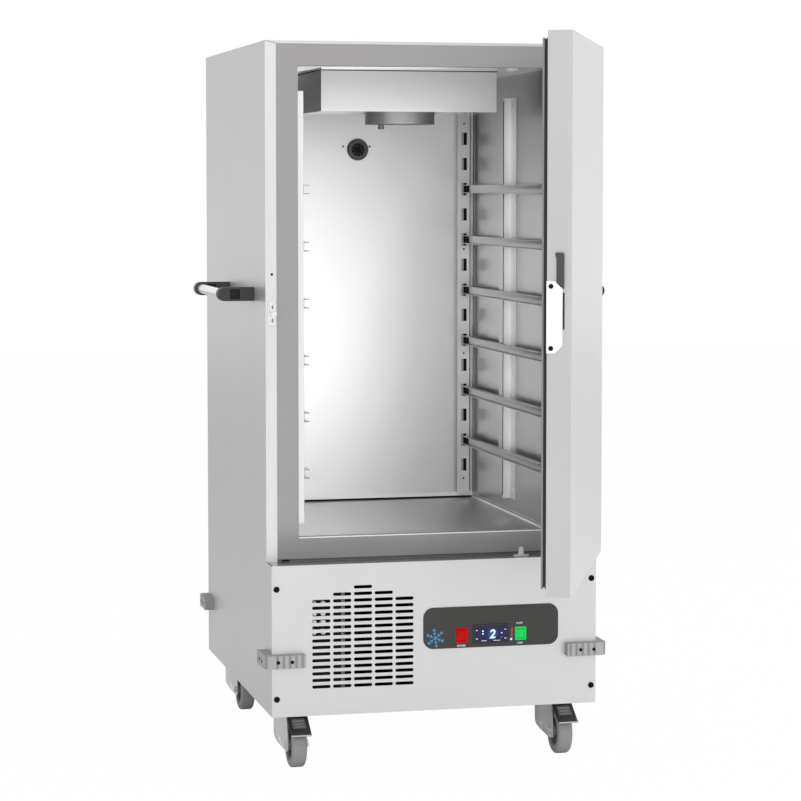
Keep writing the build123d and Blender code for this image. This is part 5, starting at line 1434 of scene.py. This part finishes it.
arm_form = bmesh.new()
line_half = 0.0005
block(arm_form, (-line_half, 0.0004, 0), (line_half, 0.0212, print_depth))
for height, length in ((0.0078, 0.0052), (0.0148, 0.0052)):
    for side in (-1, 1):
        base = Vector((0, height, 0))
        along = Vector((side, 1, 0)).normalized() * length
        across = Vector((-side, 1, 0)).normalized() * line_half
        prism(arm_form, [base - across, base + across, base + along + across, base + along - across],
              (0, 0, print_depth))
bmesh.ops.recalc_face_normals(arm_form, faces=arm_form.faces)
arm_mesh = bpy.data.meshes.new("crystal_arm")
arm_form.to_mesh(arm_mesh)
arm_form.free()
crystal_arm = stand("crystal_arm", arm_mesh)
crystal = stand("frost_crystal", bpy.data.meshes.new("frost_crystal"))
crystal_nodes = crystal.modifiers.new("crystal", "NODES")
crystal_nodes.node_group = crystal_tree()
set_inputs(crystal_nodes, Arm=crystal_arm, Arms=6, Turn=math.radians(60), Finish=blue_print)
settle(crystal)
bpy.data.objects.remove(crystal_arm)
crystal_turn = math.radians(8)
crystal.data.transform(Matrix.Rotation(crystal_turn, 4, "Z"))
crystal.data.transform(Matrix.Rotation(math.pi / 2, 4, "X"))
crystal.data.transform(Matrix.Translation((-0.0027, plate_face_y, 0.2782)))
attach(crystal, "root")

# Push handles: dark moulded arms bolted to the sides, with a polished steel tube between each
# pair. Near-black plates in the window of each arm paint the shade of its recess.
arm_colour = (0.038, 0.038, 0.037, 1)
tube_shade_polished = 0.8
arm_plastic = moulded_plastic("arm_plastic", arm_colour, 0.5, pebble=0.1, pebble_scale=1300)
tube_steel = satin_steel("tube_steel", tube_shade_polished, "Y", roughness=0.24, metallic=0.9)
web_plastic = moulded_plastic("web_plastic", (0.012, 0.012, 0.012, 1), 0.6)
rounded("handle_arms", "handle_brackets", arm_plastic, 0.0026, steps=3)
rounded("handle_tubes", "handle_bars", tube_steel, 0.0006)
shade_plate_half = 0.0106
shade_plate_x = 0.402
shade_plate_z = 1.0155
shade_plate_sheet = 0.0005
for side, sign in (("left", -1), ("right", 1)):
    window_shades = bmesh.new()
    for arm_y in (0.0809, 0.3949):
        for face in (-0.004, 0.004 - shade_plate_sheet):
            block(
                window_shades,
                (sign * shade_plate_x - shade_plate_half, arm_y + face, shade_plate_z - shade_plate_half),
                (sign * shade_plate_x + shade_plate_half, arm_y + face + shade_plate_sheet, shade_plate_z + shade_plate_half),
            )
    finished(f"{side}_handle_webs", window_shades, "root", web_plastic, 0.0001)

# Strike and centring cone: a bright die-cast strike screwed to the left strip, and a grey
# plastic cone on the ledge. A blind rivet closes a spare hole above the strike.
bright_shade = 0.93
cone_shade = 0.6
bright_cast = zinc_plate("bright_cast", bright_shade, 0.26, 70)
cone_plastic = moulded_plastic("cone_plastic", (cone_shade, cone_shade, cone_shade, 1), 0.5)
rounded("latch_strike", "strike_casting", bright_cast, 0.0006)
rounded("guide_cone", "centring_cone", cone_plastic, 0.0005)
strip_face_y = -0.0681
spare_hole = fixing_head(
    "hole_plug", [(0, 0.0021), (0.0004, 0.0019), (0.0004, 0.0009), (0.0001, 0.0007), (0.0001, 0)]
)
fix("strip_hole_plug", spare_hole, [(-0.3462, strip_face_y, 1.0625)], facing_front, "root",
    black_steel, 1.35)

# Door: an outer skin folded round the foam, a dished inner liner, and a dark rubber gasket
# pressed into its edge. It hangs open on two lift-off hinges.
door_shade = 0.81
darkened_door_edge_shade = 0.6
gasket_shade = 0.03
lit_lip_shade = 0.25
door_turn = math.radians(66.9)
door_pin = Vector((0.3486, -0.0938, 0))
door_out = Vector((math.cos(door_turn), math.sin(door_turn), 0))
door_in = Vector((-math.sin(door_turn), math.cos(door_turn), 0))
door_free_edge = -0.67435
door_steel = satin_steel("door_steel", door_shade)
# Painted shade: the door's skin is darker towards its top.
paint_shade_by_height(door_steel, 0.8, 1.5, 0.84)
door_liner_steel = satin_steel("door_liner_steel", door_shade, roughness=0.3)
gasket_rubber = moulded_plastic(
    "gasket_rubber", (gasket_shade, gasket_shade, gasket_shade, 1), 0.6, 0.05, 900
)
door_edge_steel = satin_steel("door_edge_steel", darkened_door_edge_shade)
lip_rubber = moulded_plastic("lip_rubber", (lit_lip_shade, lit_lip_shade, lit_lip_shade, 1), 0.6, 0.05, 900)
door_sheet = rounded("door_outer_skin", "door_sheet", door_steel, 0.0011, steps=3)
# Painted shade: the free edge of the skin gets a darker copy of its steel.
finish_where(
    door_sheet, door_edge_steel, lambda middle, facing: facing.dot(door_out) < -0.9
)
rounded("door_inner_liner", "door_dish", door_liner_steel, 0.0018, steps=3)
gasket = rounded("door_gasket", "magnetic_gasket", gasket_rubber, 0.001, steps=3)
gasket_lip = max(vertex.co.dot(door_in) for vertex in gasket.data.vertices) - 0.0042
# Painted light: the gasket's outer layer gets a lighter grey than the rest of the same rubber.
finish_where(gasket, lip_rubber, lambda middle, facing: middle.dot(door_in) > gasket_lip)
hinge_steel = satin_steel("hinge_steel", 0.62, roughness=0.3)
rounded("hinge_frame_leaves", "hinge_pins_and_leaves", hinge_steel, 0.0006)
rounded("hinge_door_leaves", "hinge_knuckles", hinge_steel, 0.0006)
hinge_screw = fixing_head(
    "hinge_screw",
    [(0, 0.0032), (0.0009, 0.0028), (0.0013, 0.0018), (0.0013, 0.0012), (0.0005, 0.001), (0.0005, 0)],
)
leaf_screw_zs = [middle + shift for middle in (0.53, 1.472) for shift in (-0.02, 0.02)]
leaf_face = -0.02285 + 0.003


def door_point(along, across, z):
    """Place on the door: along its width from the pin, across its thickness, and height."""
    return door_pin + door_out * along + door_in * across + Vector((0, 0, z))


hinge_turn = (0, math.pi / 2, door_turn)
hinge_screw_spots = [door_point(leaf_face, -0.0112, z) for z in leaf_screw_zs]
fix("hinge_leaf_screws", hinge_screw, hinge_screw_spots, hinge_turn, "door", hinge_steel)

# Latch: a bright case with a bent lip, screwed to the free edge, and a black lever above it
case_shade = 0.97
lever_colour = (0.06, 0.06, 0.058, 1)
case_metal = satin_steel("case_metal", case_shade, roughness=0.3, metallic=0.2)
lever_plastic = moulded_plastic("lever_plastic", lever_colour, 0.42, pebble=0.05)
rounded("latch_case", "latch_housing", case_metal, 0.0007)
rounded("latch_lever", "latch_grip", lever_plastic, 0.0007)
latch_face = door_free_edge - 0.009
latch_screw_across = 0.005
latch_screw_zs = (0.9388, 1.0583)
latch_screw = fixing_head(
    "latch_screw",
    [(0, 0.0042), (0.0004, 0.0039), (0.0002, 0.0032), (0.0002, 0.0027), (0.0005, 0.0024),
     (0.0005, 0)],
    28,
)
latch_turn = (0, -math.pi / 2, door_turn)
latch_spots = [door_point(latch_face, latch_screw_across, z) for z in latch_screw_zs]
fix("latch_screws", latch_screw, latch_spots, latch_turn, "door", black_steel, 1.15)
# Painted shadow: a thin near-black plate on the free edge beside the latch case.
edge_shadow = bmesh.new()
prism(edge_shadow, [door_point(door_free_edge, across, z) for across, z in (
    (-0.0175, 0.975), (-0.0175, 1.046), (-0.0205, 1.046), (-0.0205, 0.975)
)], door_out * -0.0003)
finished("latch_recess", edge_shadow, "door", gap_sealant)
